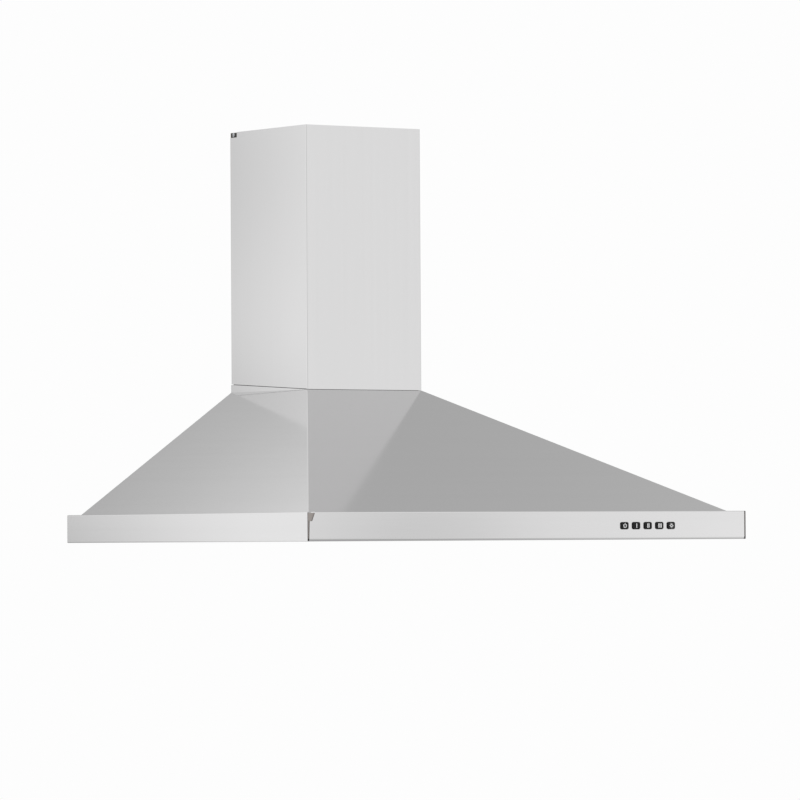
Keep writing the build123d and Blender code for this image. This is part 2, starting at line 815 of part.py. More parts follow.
def lamp_module(x):
    """The light source on its finned heat sink."""
    with BuildPart() as module:
        with BuildSketch(Plane.XY.offset(lens_z + lens_thickness)):
            with Locations((x, lamp_y)):
                Circle(lamp_tube_radius - lamp_wall - seat_gap)
        extrude(amount=lamp_board)
        with BuildSketch(Plane.XY.offset(sink_z)):
            with Locations((x, lamp_y)):
                Circle(heat_sink_radius)
                with GridLocations(2 * heat_sink_radius / heat_sink_fins, 1, heat_sink_fins - 1, 1):
                    Rectangle(heat_sink_slot, 2 * heat_sink_radius, mode=Mode.SUBTRACT)
        extrude(amount=heat_sink_height)
    return module


for side, hand in ((-1, "left"), (1, "right")):
    centre_x = side * lamp_spacing / 2
    save(lamp_ring(centre_x), f"lamp_ring_{hand}")
    save(lamp_lens(centre_x), f"lamp_lens_{hand}")
    save(lamp_module(centre_x), f"lamp_module_{hand}")

# ---------------------------------------------------------------- buttons and switch


def push_button(x):
    """One key: a rounded cap with a shoulder behind the fascia and a square stem."""
    with BuildPart() as button:
        with BuildSketch(facing(front_y - button_proud)):
            with Locations((x, button_z)):
                RectangleRounded(button_width, button_height, button_corner)
        extrude(amount=front_y - button_proud - cap_back)
        fillet(button.faces().sort_by(Axis.Y)[0].edges(), button_proud / 3)
        with BuildSketch(facing(cap_back - button_shoulder_thickness)):
            with Locations((x, button_z)):
                wide = button_width + 2 * button_shoulder
                tall = button_height + 2 * button_shoulder
                RectangleRounded(wide, tall, button_corner)
        extrude(amount=-button_shoulder_thickness)
        with BuildSketch(facing(cap_back)):
            with Locations((x, button_z)):
                Rectangle(stem_size, stem_size)
        extrude(amount=-stem_length)
    return button


for number, x in enumerate(button_xs, start=1):
    save(push_button(x), f"button_{number}")

with BuildPart() as switch_body:
    block(switch_x0, switch_x1, switch_front, switch_rear, switch_z0, switch_z1)
    fillet(switch_body.edges().filter_by(Axis.Y), switch_corner)
    stem_hole = stem_size + 2 * button_clearance
    stem_room = cap_back + stem_length + button_travel + switch_gap - switch_front
    with BuildSketch(facing(switch_front)):
        for x in button_xs:
            with Locations((x, button_z)):
                Rectangle(stem_hole, stem_hole)
    extrude(amount=-stem_room, mode=Mode.SUBTRACT)
save(switch_body, "switch_body")

with BuildPart() as switch_bracket:
    leg_rear = switch_rear + switch_bracket_sheet
    block(switch_x0, switch_x1, switch_rear, leg_rear, sheet, switch_z1)
    block(switch_x0, switch_x1, switch_front, switch_rear, sheet, sheet + switch_bracket_sheet)
save(switch_bracket, "switch_bracket")

# ---------------------------------------------------------------- top plate and fan housing

collar_flange = duct_radius + collar_flange_margin
screw_offset = collar_flange - screw_head_radius - collar_screw_margin

with BuildPart() as top_plate:
    block(-plate_x, plate_x, plate_y, panel_y, plate_z, plate_top)
    # Its edges are folded up against the spigot
    with BuildSketch(Plane.XY.offset(plate_z)):
        plan(plate_x, plate_y, panel_y)
        plan(plate_x - plate_sheet, plate_y + plate_sheet, panel_y, Mode.SUBTRACT)
    extrude(amount=plate_flange)
    with BuildSketch(Plane.XY.offset(plate_z)):
        with Locations((0, outlet_y)):
            Circle(duct_radius - duct_wall)
            with GridLocations(2 * screw_offset, 2 * screw_offset, 2, 2):
                Circle(screw_radius + lap_gap)
        with Locations((gland_x, gland_y)):
            Circle(gland_thread_radius + lap_gap)
    extrude(amount=plate_sheet, mode=Mode.SUBTRACT)
save(top_plate, "top_plate")


def scroll_face(gap=0.0):
    """The fan housing's outline seen from the front, drawn in by gap.

    Three quarter arcs grow round the shaft from the tongue to the outlet's left wall.
    """
    half = scroll_step / 2
    first, second, third = (scroll_radius + i * scroll_step - gap for i in range(3))
    left = scroll_left + gap
    right = -scroll_left - gap
    tongue_rise = sqrt(first ** 2 - (right - fan_x - half) ** 2)
    tongue_angle = degrees(asin(tongue_rise / first))
    tongue = (right, fan_z - half + tongue_rise)
    with BuildSketch() as scroll:
        with BuildLine():
            CenterArc((fan_x + half, fan_z - half), first, 0, tongue_angle)
            CenterArc((fan_x - half, fan_z - half), second, 270, 90)
            CenterArc((fan_x - half, fan_z + half), third, 180, 90)
            Polyline((left, fan_z + half), (left, plate_z), (right, plate_z), tongue)
        make_face()
    return scroll.sketch


scroll_outer = scroll_face()
scroll_inner = scroll_face(housing_wall)


def housing_half(y0, y1):
    """Half of the fan housing between two depths; the closed side has the inlet."""
    front_half = y0 < outlet_y - housing_width / 4
    core_y0 = y0 + housing_wall if front_half else y0
    core_y1 = y1 if front_half else y1 - housing_wall
    closed_y = y0 if front_half else y1
    with BuildPart() as half:
        with BuildSketch(facing(y0)):
            add(scroll_outer)
        extrude(amount=y0 - y1)
        with BuildSketch(facing(core_y0)):
            add(scroll_inner)
        extrude(amount=core_y0 - core_y1, mode=Mode.SUBTRACT)
        # The outlet's mouth
        mouth_x = outlet_width / 2 - housing_wall
        block(-mouth_x, mouth_x, core_y0, core_y1, plate_z - housing_wall, plate_z, Mode.SUBTRACT)
        with BuildSketch(facing(closed_y)):
            with Locations((fan_x, fan_z)):
                Circle(inlet_radius)
        extrude(amount=-housing_wall if front_half else housing_wall, mode=Mode.SUBTRACT)
    return half


housing_half_front = housing_half(housing_front, outlet_y)
save(housing_half_front, "fan_housing_front")
housing_half_rear = housing_half(outlet_y, housing_rear)
save(housing_half_rear, "fan_housing_rear")


def inlet_ring(y, direction):
    """A bell-mouth ring on the housing's side; direction is +1 towards the wall."""
    with BuildPart() as ring:
        with BuildSketch(facing(y)):
            with Locations((fan_x, fan_z)):
                Circle(inlet_radius + inlet_ring_width)
                Circle(inlet_radius - inlet_ring_lip, mode=Mode.SUBTRACT)
        extrude(amount=-direction * inlet_ring_thickness)
        rims = ring.edges().filter_by(GeomType.CIRCLE).group_by(SortBy.RADIUS)[0]
        outer_rim = rims.sort_by(Axis.Y)[-1 if direction > 0 else 0]
        fillet(outer_rim, inlet_ring_thickness * 0.6)
    return ring


save(inlet_ring(housing_front, -1), "inlet_ring_front")
save(inlet_ring(housing_rear, 1), "inlet_ring_rear")

# ---------------------------------------------------------------- fan and motor

fan_front = outlet_y - fan_length / 2
fan_rear = outlet_y + fan_length / 2


def disc(y0, y1, radius, mode=Mode.ADD):
    """A disc about the fan's shaft between two depths."""
    with Locations(Location((fan_x, (y0 + y1) / 2, fan_z), (90, 0, 0))):
        Cylinder(radius, y1 - y0, mode=mode)


with BuildPart() as impeller:
    disc(fan_front, fan_front + fan_ring_thickness, fan_radius)
    disc(fan_rear - fan_ring_thickness, fan_rear, fan_radius)
    disc(fan_front, fan_rear, fan_radius - fan_ring_width, Mode.SUBTRACT)
    disc(outlet_y - fan_ring_thickness / 2, outlet_y + fan_ring_thickness / 2, fan_radius)
    disc(outlet_y - hub_length / 2, outlet_y + hub_length / 2, hub_radius)
    disc(fan_front, fan_rear, shaft_radius, Mode.SUBTRACT)
    with BuildSketch(facing(fan_front)):
        with Locations((fan_x, fan_z)):
            with PolarLocations(fan_radius - fan_ring_width / 2, blade_count):
                Rectangle(fan_ring_width - 2 * blade_inset, blade_thickness, rotation=blade_angle)
    extrude(amount=-fan_length)
save(impeller, "impeller")

with BuildPart() as motor_shaft:
    disc(shaft_front, shaft_rear, shaft_radius)
save(motor_shaft, "motor_shaft")

cap_front = mount_front - motor_wall
stator_mid = (motor_front + mount_front) / 2
stator_inner = motor_radius - motor_wall - stator_depth

with BuildPart() as motor_rotor:
    rotor_half = stator_length / 2 + rotor_overhang
    disc(stator_mid - rotor_half, stator_mid + rotor_half, stator_inner - air_gap)
    disc(stator_mid - rotor_half, stator_mid + rotor_half, shaft_radius, Mode.SUBTRACT)
save(motor_rotor, "motor_rotor")

with BuildPart() as motor_can:
    disc(motor_front, cap_front, motor_radius)
    disc(shaft_front, cap_front, motor_radius - motor_wall, Mode.SUBTRACT)
    disc(shaft_front, shaft_front + bearing_width, bearing_boss)
    disc(shaft_front, shaft_front + bearing_width, bearing_radius + lap_gap / 2, Mode.SUBTRACT)
    fillet(
        motor_can.edges().filter_by(GeomType.CIRCLE).group_by(Axis.Y)[0].sort_by(SortBy.RADIUS)[-1],
        motor_wall * 0.9,
    )
save(motor_can, "motor_can")

with BuildPart() as motor_stator:
    stator_half = stator_length / 2
    disc(stator_mid - stator_half, stator_mid + stator_half, motor_radius - motor_wall - lap_gap / 2)
    disc(stator_mid - stator_half, stator_mid + stator_half, stator_inner, Mode.SUBTRACT)
save(motor_stator, "motor_stator")

with BuildPart() as motor_cap:
    disc(cap_front, mount_front, motor_radius)
    disc(cap_front - bearing_width, cap_front, bearing_boss)
    disc(cap_front - bearing_width, cap_front, bearing_radius + lap_gap / 2, Mode.SUBTRACT)
    disc(cap_front, mount_front, shaft_radius + shaft_hole_gap, Mode.SUBTRACT)
save(motor_cap, "motor_cap")

with BuildPart() as motor_bearings:
    disc(shaft_front, shaft_front + bearing_width, bearing_radius)
    disc(cap_front - bearing_width, cap_front, bearing_radius)
    disc(shaft_front, cap_front, shaft_radius + shaft_clearance, Mode.SUBTRACT)
save(motor_bearings, "motor_bearings")

with BuildPart() as motor_mount:
    disc(mount_front, bush_front, motor_radius)
    with BuildSketch(facing(mount_front)):
        with Locations((fan_x, fan_z)):
            with PolarLocations(mount_circle_radius / 2, mount_arms, mount_turn):
                SlotOverall(mount_circle_radius + mount_arm_width, mount_arm_width)
    extrude(amount=-motor_mount_sheet)
    disc(mount_front, bush_front, shaft_radius + shaft_hole_gap, Mode.SUBTRACT)
    with BuildSketch(facing(mount_front)):
        with Locations((fan_x, fan_z)):
            with PolarLocations(mount_circle_radius, mount_arms, mount_turn):
                Circle(screw_radius + lap_gap)
    extrude(amount=-motor_mount_sheet, mode=Mode.SUBTRACT)
save(motor_mount, "motor_mount")

with BuildPart() as motor_bushes:
    with BuildSketch(facing(bush_front)):
        with Locations((fan_x, fan_z)):
            with PolarLocations(mount_circle_radius, mount_arms, mount_turn):
                Circle(bush_radius)
                Circle(screw_radius + lap_gap, mode=Mode.SUBTRACT)
    extrude(amount=-bush_length)
save(motor_bushes, "motor_bushes")

# ---------------------------------------------------------------- outlet collar and flaps

with BuildPart() as outlet_collar:
    block(
        -collar_flange, collar_flange,
        outlet_y - collar_flange, outlet_y + collar_flange,
        plate_top, collar_base,
    )
    fillet(outlet_collar.edges().filter_by(Axis.Z), screw_head_radius)
    with BuildSketch(Plane.XY.offset(collar_base)):
        with Locations((0, outlet_y)):
            Circle(duct_radius)
    extrude(amount=collar_height)
    with BuildSketch(Plane.XY.offset(plate_top)):
        with Locations((0, outlet_y)):
            Circle(duct_radius - duct_wall)
            with GridLocations(2 * screw_offset, 2 * screw_offset, 2, 2):
                Circle(screw_radius + lap_gap)
    extrude(amount=collar_flange_sheet + collar_height, mode=Mode.SUBTRACT)
    # The seat that the flaps close on
    stop_top = damper_z - damper_thickness / 2 - seat_gap
    with BuildSketch(Plane.XY.offset(stop_top - stop_thickness)):
        with Locations((0, outlet_y)):
            Circle(duct_radius - duct_wall / 2)
            Circle(duct_radius - duct_wall - stop_width, mode=Mode.SUBTRACT)
    extrude(amount=stop_thickness)
    with BuildSketch(Plane.YZ.offset(-duct_radius)):
        with Locations((outlet_y, damper_z)):
            Circle(damper_pin_radius + lap_gap / 2)
    extrude(amount=2 * duct_radius, mode=Mode.SUBTRACT)
save(outlet_collar, "outlet_collar")

with BuildPart() as damper_pin:
    with BuildSketch(Plane.YZ.offset(seat_gap - duct_radius)):
        with Locations((outlet_y, damper_z)):
            Circle(damper_pin_radius)
    extrude(amount=2 * (duct_radius - seat_gap))
save(damper_pin, "damper_pin")

flap_radius = duct_radius - duct_wall - damper_edge_gap
flap_root = knuckle_radius + damper_edge_gap
knuckle_bore = damper_pin_radius + damper_clearance
knuckle_step = knuckle_length + knuckle_gap


def damper_flap(side):
    """Half of the back-draught valve; side is -1 for the front half, +1 for the rear."""
    first = -2 * knuckle_step if side < 0 else -knuckle_step
    with BuildPart() as flap:
        with BuildSketch(Plane.XY.offset(damper_z - damper_thickness / 2)):
            with Locations((0, outlet_y)):
                Circle(flap_radius)
            with Locations((0, outlet_y - side * (duct_radius - flap_root))):
                Rectangle(2 * duct_radius, 2 * duct_radius, mode=Mode.SUBTRACT)
        extrude(amount=damper_thickness)
        # Two knuckles on the pin, between those of the other flap
        low, high = sorted((outlet_y, outlet_y + side * flap_root))
        half = damper_thickness / 2
        for x in (first, first + 2 * knuckle_step):
            block(x, x + knuckle_length, low, high, damper_z - half, damper_z + half)
            with BuildSketch(Plane.YZ.offset(x)):
                with Locations((outlet_y, damper_z)):
                    Circle(knuckle_radius)
            extrude(amount=knuckle_length)
        with BuildSketch(Plane.YZ.offset(-duct_radius)):
            with Locations((outlet_y, damper_z)):
                Circle(knuckle_bore)
        extrude(amount=2 * duct_radius, mode=Mode.SUBTRACT)
    return flap


save(damper_flap(-1), "damper_flap_front")
save(damper_flap(1), "damper_flap_rear")

with BuildPart() as pan_head_screws:
    # Four hold the collar to the top plate
    with BuildSketch(Plane.XY.offset(collar_base)):
        with Locations((0, outlet_y)):
            with GridLocations(2 * screw_offset, 2 * screw_offset, 2, 2):
                Circle(screw_head_radius)
    extrude(amount=screw_head_height)
    with BuildSketch(Plane.XY.offset(collar_base)):
        with Locations((0, outlet_y)):
            with GridLocations(2 * screw_offset, 2 * screw_offset, 2, 2):
                Circle(screw_radius)
    extrude(amount=-screw_depth)
    # Three hold the motor's mount through its bushes
    with BuildSketch(facing(mount_front)):
        with Locations((fan_x, fan_z)):
            with PolarLocations(mount_circle_radius, mount_arms, mount_turn):
                Circle(screw_head_radius)
    extrude(amount=screw_head_height)
    with BuildSketch(facing(mount_front)):
        with Locations((fan_x, fan_z)):
            with PolarLocations(mount_circle_radius, mount_arms, mount_turn):
                Circle(screw_radius)
    extrude(amount=-(motor_mount_sheet + bush_length))
save(pan_head_screws, "pan_head_screws")

# ---------------------------------------------------------------- electrics

with BuildPart() as terminal_box:
    block(box_left_x, box_left_x + box_width, box_front, panel_y, box_z, box_top)
    fillet(terminal_box.edges().filter_by(Axis.Y), box_corner)
    block(
        box_left_x + box_wall, box_left_x + box_width - box_wall,
        box_front, panel_y - box_wall,
        box_z + box_wall, box_top - box_wall, Mode.SUBTRACT,
    )
save(terminal_box, "terminal_box")

with BuildPart() as terminal_lid:
    block(
        box_left_x, box_left_x + box_width,
        box_front - lid_thickness, box_front,
        box_z, box_top,
    )
    fillet(terminal_lid.edges().filter_by(Axis.Y), box_corner)
save(terminal_lid, "terminal_lid")

with BuildPart() as capacitor:
    with BuildSketch(facing(panel_y - capacitor_length)):
        with Locations((capacitor_x, capacitor_z)):
            Circle(capacitor_radius)
    extrude(amount=-capacitor_length)
    fillet(capacitor.edges().filter_by(GeomType.CIRCLE), capacitor_edge)
    with BuildSketch(facing(panel_y)):
        with Locations((capacitor_x, capacitor_z)):
            Circle(capacitor_stud_radius)
    extrude(amount=capacitor_stud_gap - wall_gap)
    # The nut behind the panel
    with BuildSketch(facing(panel_y + sheet)):
        with Locations((capacitor_x, capacitor_z)):
            RegularPolygon(capacitor_nut_radius, 6)
    extrude(amount=-capacitor_nut_height)
save(capacitor, "capacitor")

with BuildPart() as cable_gland:
    with BuildSketch(Plane.XY.offset(plate_top)):
        with Locations((gland_x, gland_y)):
            RegularPolygon(gland_head_radius, 6)
    extrude(amount=gland_hex_height)
    with BuildSketch(Plane.XY.offset(plate_top + gland_hex_height)):
        with Locations((gland_x, gland_y)):
            Circle(gland_dome_radius)
    extrude(amount=gland_head_height - gland_hex_height)
    with BuildSketch(Plane.XY.offset(plate_top)):
        with Locations((gland_x, gland_y)):
            Circle(gland_thread_radius)
    extrude(amount=-gland_thread_length)
    # The nut under the plate
    with BuildSketch(Plane.XY.offset(plate_z)):
        with Locations((gland_x, gland_y)):
            RegularPolygon(gland_head_radius, 6)
    extrude(amount=-gland_nut_height)
    with BuildSketch(Plane.XY.offset(plate_top - gland_thread_length)):
        with Locations((gland_x, gland_y)):
            Circle(gland_bore_radius)
    extrude(amount=gland_thread_length + gland_head_height, mode=Mode.SUBTRACT)
save(cable_gland, "cable_gland")

with BuildPart() as supply_lead:
    with BuildSketch(Plane.XY.offset(box_top)):
        with Locations((gland_x, gland_y)):
            Circle(lead_radius)
    extrude(amount=plate_top - gland_thread_length - box_top)
save(supply_lead, "supply_lead")

harness_z = pan_top + harness_radius + clip_wall + lap_gap
harness_lane_x = pan_x - harness_lane_inset
harness_front_y = (switch_front + switch_rear) / 2
harness_rear_y = box_front + box_depth / 2
harness_box_x = box_left_x + box_width
harness_box_z = box_z + box_height / 2
harness_points = [
    (switch_x1, harness_front_y, harness_z),
    (harness_lane_x, harness_front_y, harness_z),
    (harness_lane_x, panel_y - harness_turn_y, harness_z),
    (harness_lane_x - harness_turn_x, harness_rear_y, harness_z + harness_turn_rise),
    (harness_box_x + harness_rise_far, harness_rear_y, harness_z + harness_rise_foot),
    (harness_box_x + harness_rise_near, harness_rear_y, harness_box_z),
    (harness_box_x, harness_rear_y, harness_box_z),
]
harness_bends = [26.0, 55.0, 55.0, 45.0, 26.0]  # one radius for each corner

with BuildPart() as switch_harness:
    with BuildLine():
        route = FilletPolyline(*harness_points, radius=harness_bends)
    with BuildSketch(Plane(origin=route @ 0, z_dir=route % 0)):
        Circle(harness_radius)
    sweep()
save(switch_harness, "switch_harness")

clip_ys = [lamp_y + clip_front_step, filter_centre_y, panel_y - clip_rear_step]

with BuildPart() as harness_clips:
    # Three saddles hold the harness down on the pan
    for y in clip_ys:
        with BuildSketch(facing(y - clip_width / 2)):
            outer = harness_radius + clip_wall + lap_gap
            with Locations((harness_lane_x, harness_z)):
                Circle(outer)
            with Locations((harness_lane_x, (pan_top + harness_z) / 2)):
                Rectangle(2 * outer, harness_z - pan_top)
            with Locations((harness_lane_x + outer + clip_foot / 2, pan_top + clip_wall / 2)):
                Rectangle(clip_foot, clip_wall)
            with Locations((harness_lane_x, harness_z)):
                Circle(harness_radius + lap_gap, mode=Mode.SUBTRACT)
        extrude(amount=-clip_width)
save(harness_clips, "harness_clips")
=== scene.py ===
from math import cos, pi, radians, sin

import bmesh
import bpy
from mathutils import Matrix, Vector


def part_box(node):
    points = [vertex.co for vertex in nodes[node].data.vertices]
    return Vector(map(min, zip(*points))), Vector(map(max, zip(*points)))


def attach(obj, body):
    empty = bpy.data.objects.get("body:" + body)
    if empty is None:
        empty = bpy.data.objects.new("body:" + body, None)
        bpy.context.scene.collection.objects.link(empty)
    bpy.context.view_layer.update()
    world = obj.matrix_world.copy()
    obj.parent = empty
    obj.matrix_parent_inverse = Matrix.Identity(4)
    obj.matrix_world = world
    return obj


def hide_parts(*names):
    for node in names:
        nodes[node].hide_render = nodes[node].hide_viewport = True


# The looks of a wall-mounted chimney range hood: satin stainless steel, black push buttons,
# grease filters of layered aluminium mesh, two lamps, and the fan behind them.
# Everything is in metres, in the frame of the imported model.

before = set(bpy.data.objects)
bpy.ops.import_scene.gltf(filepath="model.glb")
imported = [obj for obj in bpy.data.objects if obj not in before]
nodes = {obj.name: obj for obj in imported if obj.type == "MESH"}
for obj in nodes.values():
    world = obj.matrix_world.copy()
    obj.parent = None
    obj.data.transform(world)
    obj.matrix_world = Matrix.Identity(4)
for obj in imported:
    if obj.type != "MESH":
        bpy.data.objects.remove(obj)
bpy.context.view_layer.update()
MM = 0.001
HANDS = ("left", "right")
KEYS = range(1, 6)
OFF_KEY, LAMP_KEY = KEYS[0], KEYS[-1]  # the three speeds lie between
CENTRE = (0.0, 0.0, 0.15)  # the middle of the light tent, where the lamps aim too

# ---------------------------------------------------------------- camera

CAMERA_PLACE = (-3.7975, -5.4941, 0.0)
CAMERA_YAW = radians(34.61)
CAMERA_PITCH = radians(1.385)
CAMERA_ROLL = radians(-0.35)
CAMERA_LENS = 262.35
CAMERA_NEAR, CAMERA_FAR = 0.1, 200.0
SENSOR_WIDTH = 36.0


def make_camera():
    """The photograph's view: from the left front, level with the rim, with a long lens."""
    data = bpy.data.cameras.new("camera")
    data.lens = CAMERA_LENS
    data.sensor_width = SENSOR_WIDTH
    data.clip_start = CAMERA_NEAR
    data.clip_end = CAMERA_FAR
    camera = bpy.data.objects.new("camera", data)
    bpy.context.scene.collection.objects.link(camera)
    turn = Matrix.Rotation(-CAMERA_YAW, 4, "Z") @ Matrix.Rotation(pi / 2 + CAMERA_PITCH, 4, "X")
    camera.matrix_world = Matrix.Translation(CAMERA_PLACE) @ turn @ Matrix.Rotation(CAMERA_ROLL, 4, "Z")
    bpy.context.scene.camera = camera


# ---------------------------------------------------------------- node helpers


class NodeTree:
    """The node tree of a material or world, and short ways to build in it."""

    def __init__(self, owner, empty=True):
        owner.use_nodes = True
        self.tree = owner.node_tree
        if empty:
            self.tree.nodes.clear()

    def node(self, kind, **settings):
        """A new node; settings are its properties."""
        made = self.tree.nodes.new(kind)
        for key, value in settings.items():
            setattr(made, key, value)
        return made

    def link(self, output, target):
        self.tree.links.new(output, target)

    def math(self, operation, *values):
        """An operation on values that are other nodes' outputs or plain numbers."""
        made = self.node("ShaderNodeMath", operation=operation)
        for socket, value in zip(made.inputs, values):
            if isinstance(value, (int, float)):
                socket.default_value = value
            else:
                self.link(value, socket)
        return made.outputs["Value"]

    def mix_shaders(self, fac, first, second):
        """The first shader where fac is 0, and the second where it is 1."""
        made = self.node("ShaderNodeMixShader")
        for socket, value in zip(made.inputs, (fac, first, second)):
            self.link(value, socket)
        return made.outputs["Shader"]


NOISE_RANGE = (0.3, 0.7)  # where most of a noise's values lie


class Finish(NodeTree):
    """A material with one Principled shader, and short ways to feed its sockets."""

    def __init__(self, name, color, roughness, metallic=0.0, **sockets):
        self.material = bpy.data.materials.new(name)
        super().__init__(self.material, empty=False)
        self.shader = self.tree.nodes["Principled BSDF"]
        self.set("Base Color", (*color, 1.0))
        self.set("Roughness", roughness)
        self.set("Metallic", metallic)
        for socket, value in sockets.items():
            self.set(socket.replace("_", " ").title().replace("Ior", "IOR"), value)
        self.material.diffuse_color = (*color, 1.0)

    def set(self, socket, value):
        """A constant, set on the shader's own socket."""
        self.shader.inputs[socket].default_value = value

    def feed(self, socket, output):
        self.link(output, self.shader.inputs[socket])

    def place(self, stretch=(1, 1, 1), shift=(0, 0, 0)):
        """The surface's own place, in metres, times stretch and moved by shift."""
        coordinates = self.node("ShaderNodeTexCoord")
        mapping = self.node("ShaderNodeMapping")
        mapping.inputs["Scale"].default_value = stretch
        mapping.inputs["Location"].default_value = shift
        self.link(coordinates.outputs["Object"], mapping.inputs["Vector"])
        return mapping.outputs["Vector"]

    def noise(self, vector, scale=1.0, detail=2.0, roughness=0.5):
        noise = self.node("ShaderNodeTexNoise")
        noise.inputs["Scale"].default_value = scale
        noise.inputs["Detail"].default_value = detail
        noise.inputs["Roughness"].default_value = roughness
        self.link(vector, noise.inputs["Vector"])
        return noise.outputs["Fac"]

    def cells(self, vector, scale, output="Color"):
        cells = self.node("ShaderNodeTexVoronoi")
        cells.inputs["Scale"].default_value = scale
        self.link(vector, cells.inputs["Vector"])
        return cells.outputs[output]

    def grey(self, color):
        """A colour's brightness."""
        tone = self.node("ShaderNodeRGBToBW")
        self.link(color, tone.inputs["Color"])
        return tone.outputs["Val"]

    def roughen(self, value, low, high, low_in=0.0, high_in=1.0):
        """Feeds the roughness, low where value is low_in and high where it is high_in."""
        spread = self.node("ShaderNodeMapRange")
        spread.inputs["From Min"].default_value = low_in
        spread.inputs["From Max"].default_value = high_in
        spread.inputs["To Min"].default_value = low
        spread.inputs["To Max"].default_value = high
        self.link(value, spread.inputs["Value"])
        self.feed("Roughness", spread.outputs["Result"])

    def mix(self, first, second, share=0.5):
        """Two values added up, the first at that share and the second at the rest."""
        return self.math("ADD", self.math("MULTIPLY", first, share), self.math("MULTIPLY", second, 1 - share))

    def blend(self, fac, first, second):
        """A colour between two, by fac."""
        ramp = self.node("ShaderNodeValToRGB")
        ramp.color_ramp.elements[0].color = (*first, 1.0)
        ramp.color_ramp.elements[1].color = (*second, 1.0)
        self.link(fac, ramp.inputs["Fac"])
        return ramp.outputs["Color"]

    def tint(self, fac, color, darkest, palest):
        """Feeds the colour, made darker and paler by fac."""
        self.feed("Base Color", self.blend(fac, shade(color, darkest), shade(color, palest)))

    def bump(self, height, distance, strength=1.0, below=None):
        """Relief that follows height and is distance metres deep, on top of the bump below."""
        made = self.node("ShaderNodeBump")
        made.inputs["Strength"].default_value = strength
        made.inputs["Distance"].default_value = distance
        self.link(height, made.inputs["Height"])
        if below:
            self.link(below, made.inputs["Normal"])
        return made.outputs["Normal"]


def shade(color, factor):
    return tuple(channel * factor for channel in color)


# ---------------------------------------------------------------- metals

STEEL = (0.69, 0.687, 0.689)
GRAIN_FINE = 1400.0  # brush lines per metre across the grain
GRAIN_LONG = 9.0  # and along it
GRAIN_BANDS = 0.12  # the broader bands' share of the fine lines' number
GRAIN_RELIEF = 0.002 * MM
BANDS_SHIFT, WAVES_SHIFT = (3, 1, 2), (5, 2, 1)  # keep the bands and waves from following the lines
LEVEL_GRAIN = 0.25  # turns of the gloss, where the brush lines lie level
UPRIGHT_GRAIN = 0.0


def stainless(name, fine_axes, grain_turn, wave=0.35 * MM, roughness=0.1):
    """Satin stainless sheet. fine_axes are the axes that cross its brush lines."""
    finish = Finish(name, STEEL, roughness, 1.0, anisotropic=0.45, anisotropic_rotation=grain_turn)
    tangent = finish.node("ShaderNodeTangent", direction_type="RADIAL", axis="Z")
    finish.feed("Tangent", tangent.outputs["Tangent"])
    stretch = [GRAIN_FINE if axis in fine_axes else GRAIN_LONG for axis in "XYZ"]
    grain = finish.noise(finish.place(stretch), detail=3.0, roughness=0.65)
    bands = finish.noise(finish.place([value * GRAIN_BANDS for value in stretch], BANDS_SHIFT))
    finish.tint(finish.mix(grain, bands), STEEL, darkest=0.97, palest=1.03)
    cloud = finish.noise(finish.place(), scale=11.0)
    smear = finish.mix(cloud, grain, 0.45)
    finish.roughen(smear, roughness * 0.75, roughness * 1.35, 0.25, 0.75)
    waves = finish.noise(finish.place(shift=WAVES_SHIFT), scale=2.6, detail=1.0, roughness=0.4)
    broad = finish.bump(waves, wave)
    finish.feed("Normal", finish.bump(grain, GRAIN_RELIEF, 0.6, broad))
    return finish.material


def galvanised():
    """Dull zinc-coated sheet with its faint crystal pattern."""
    color = (0.56, 0.575, 0.58)
    finish = Finish("galvanised", color, 0.42, 1.0)
    crystals = finish.grey(finish.cells(finish.place(), scale=140.0))
    finish.tint(crystals, color, darkest=0.86, palest=1.1)
    finish.roughen(crystals, 0.34, 0.52)
    waves = finish.noise(finish.place(), scale=14.0)
    finish.feed("Normal", finish.bump(waves, 0.15 * MM))
    return finish.material


def rolled_aluminium(name, color, roughness):
    """Pressed aluminium with fine rolling lines and handling marks."""
    finish = Finish(name, color, roughness, 1.0)
    lines = finish.noise(finish.place((1800, 25, 1800)))
    marks = finish.noise(finish.place(), scale=60.0, detail=4.0, roughness=0.6)
    mixed = finish.mix(lines, marks)
    finish.tint(mixed, color, darkest=0.88, palest=1.08)
    finish.roughen(marks, roughness * 0.8, roughness * 1.3, *NOISE_RANGE)
    finish.feed("Normal", finish.bump(mixed, 0.02 * MM, 0.7))
    return finish.material


def turned_steel(name, color, roughness):
    """Bright machined steel with fine tool marks."""
    finish = Finish(name, color, roughness, 1.0)
    marks = finish.noise(finish.place(), scale=900.0)
    finish.tint(marks, color, darkest=0.9, palest=1.08)
    finish.roughen(marks, roughness * 0.8, roughness * 1.3, *NOISE_RANGE)
    return finish.material


def weld_metal():
    """Raw weld with its heat tints, rosy and greenish grey."""
    rosy, greenish = (0.42, 0.33, 0.33), (0.33, 0.36, 0.32)
    finish = Finish("weld_metal", (0.4, 0.36, 0.35), 0.36, 1.0)
    heat = finish.noise(finish.place(), scale=420.0, detail=3.0, roughness=0.6)
    finish.feed("Base Color", finish.blend(heat, rosy, greenish))
    finish.roughen(heat, 0.28, 0.5)
    finish.feed("Normal", finish.bump(heat, 0.12 * MM))
    return finish.material


# ---------------------------------------------------------------- plastics and the rest


def grained(name, color, matt, scale, tones, gloss=None, relief=0.0, detail=2.0, harshness=0.5,
            stretch=(1, 1, 1), metallic=0.0):
    """A finish whose tone, gloss and relief follow one fine noise.

    matt is its roughness, tones are its darkest and palest share of the colour, gloss is the range
    of its roughness where that varies, and harshness is the noise's own roughness."""
    finish = Finish(name, color, matt, metallic)
    grain = finish.noise(finish.place(stretch), scale, detail, harshness)
    finish.tint(grain, color, *tones)
    if gloss:
        finish.roughen(grain, *gloss)
    if relief:
        finish.feed("Normal", finish.bump(grain, relief, 0.5))
    return finish.material


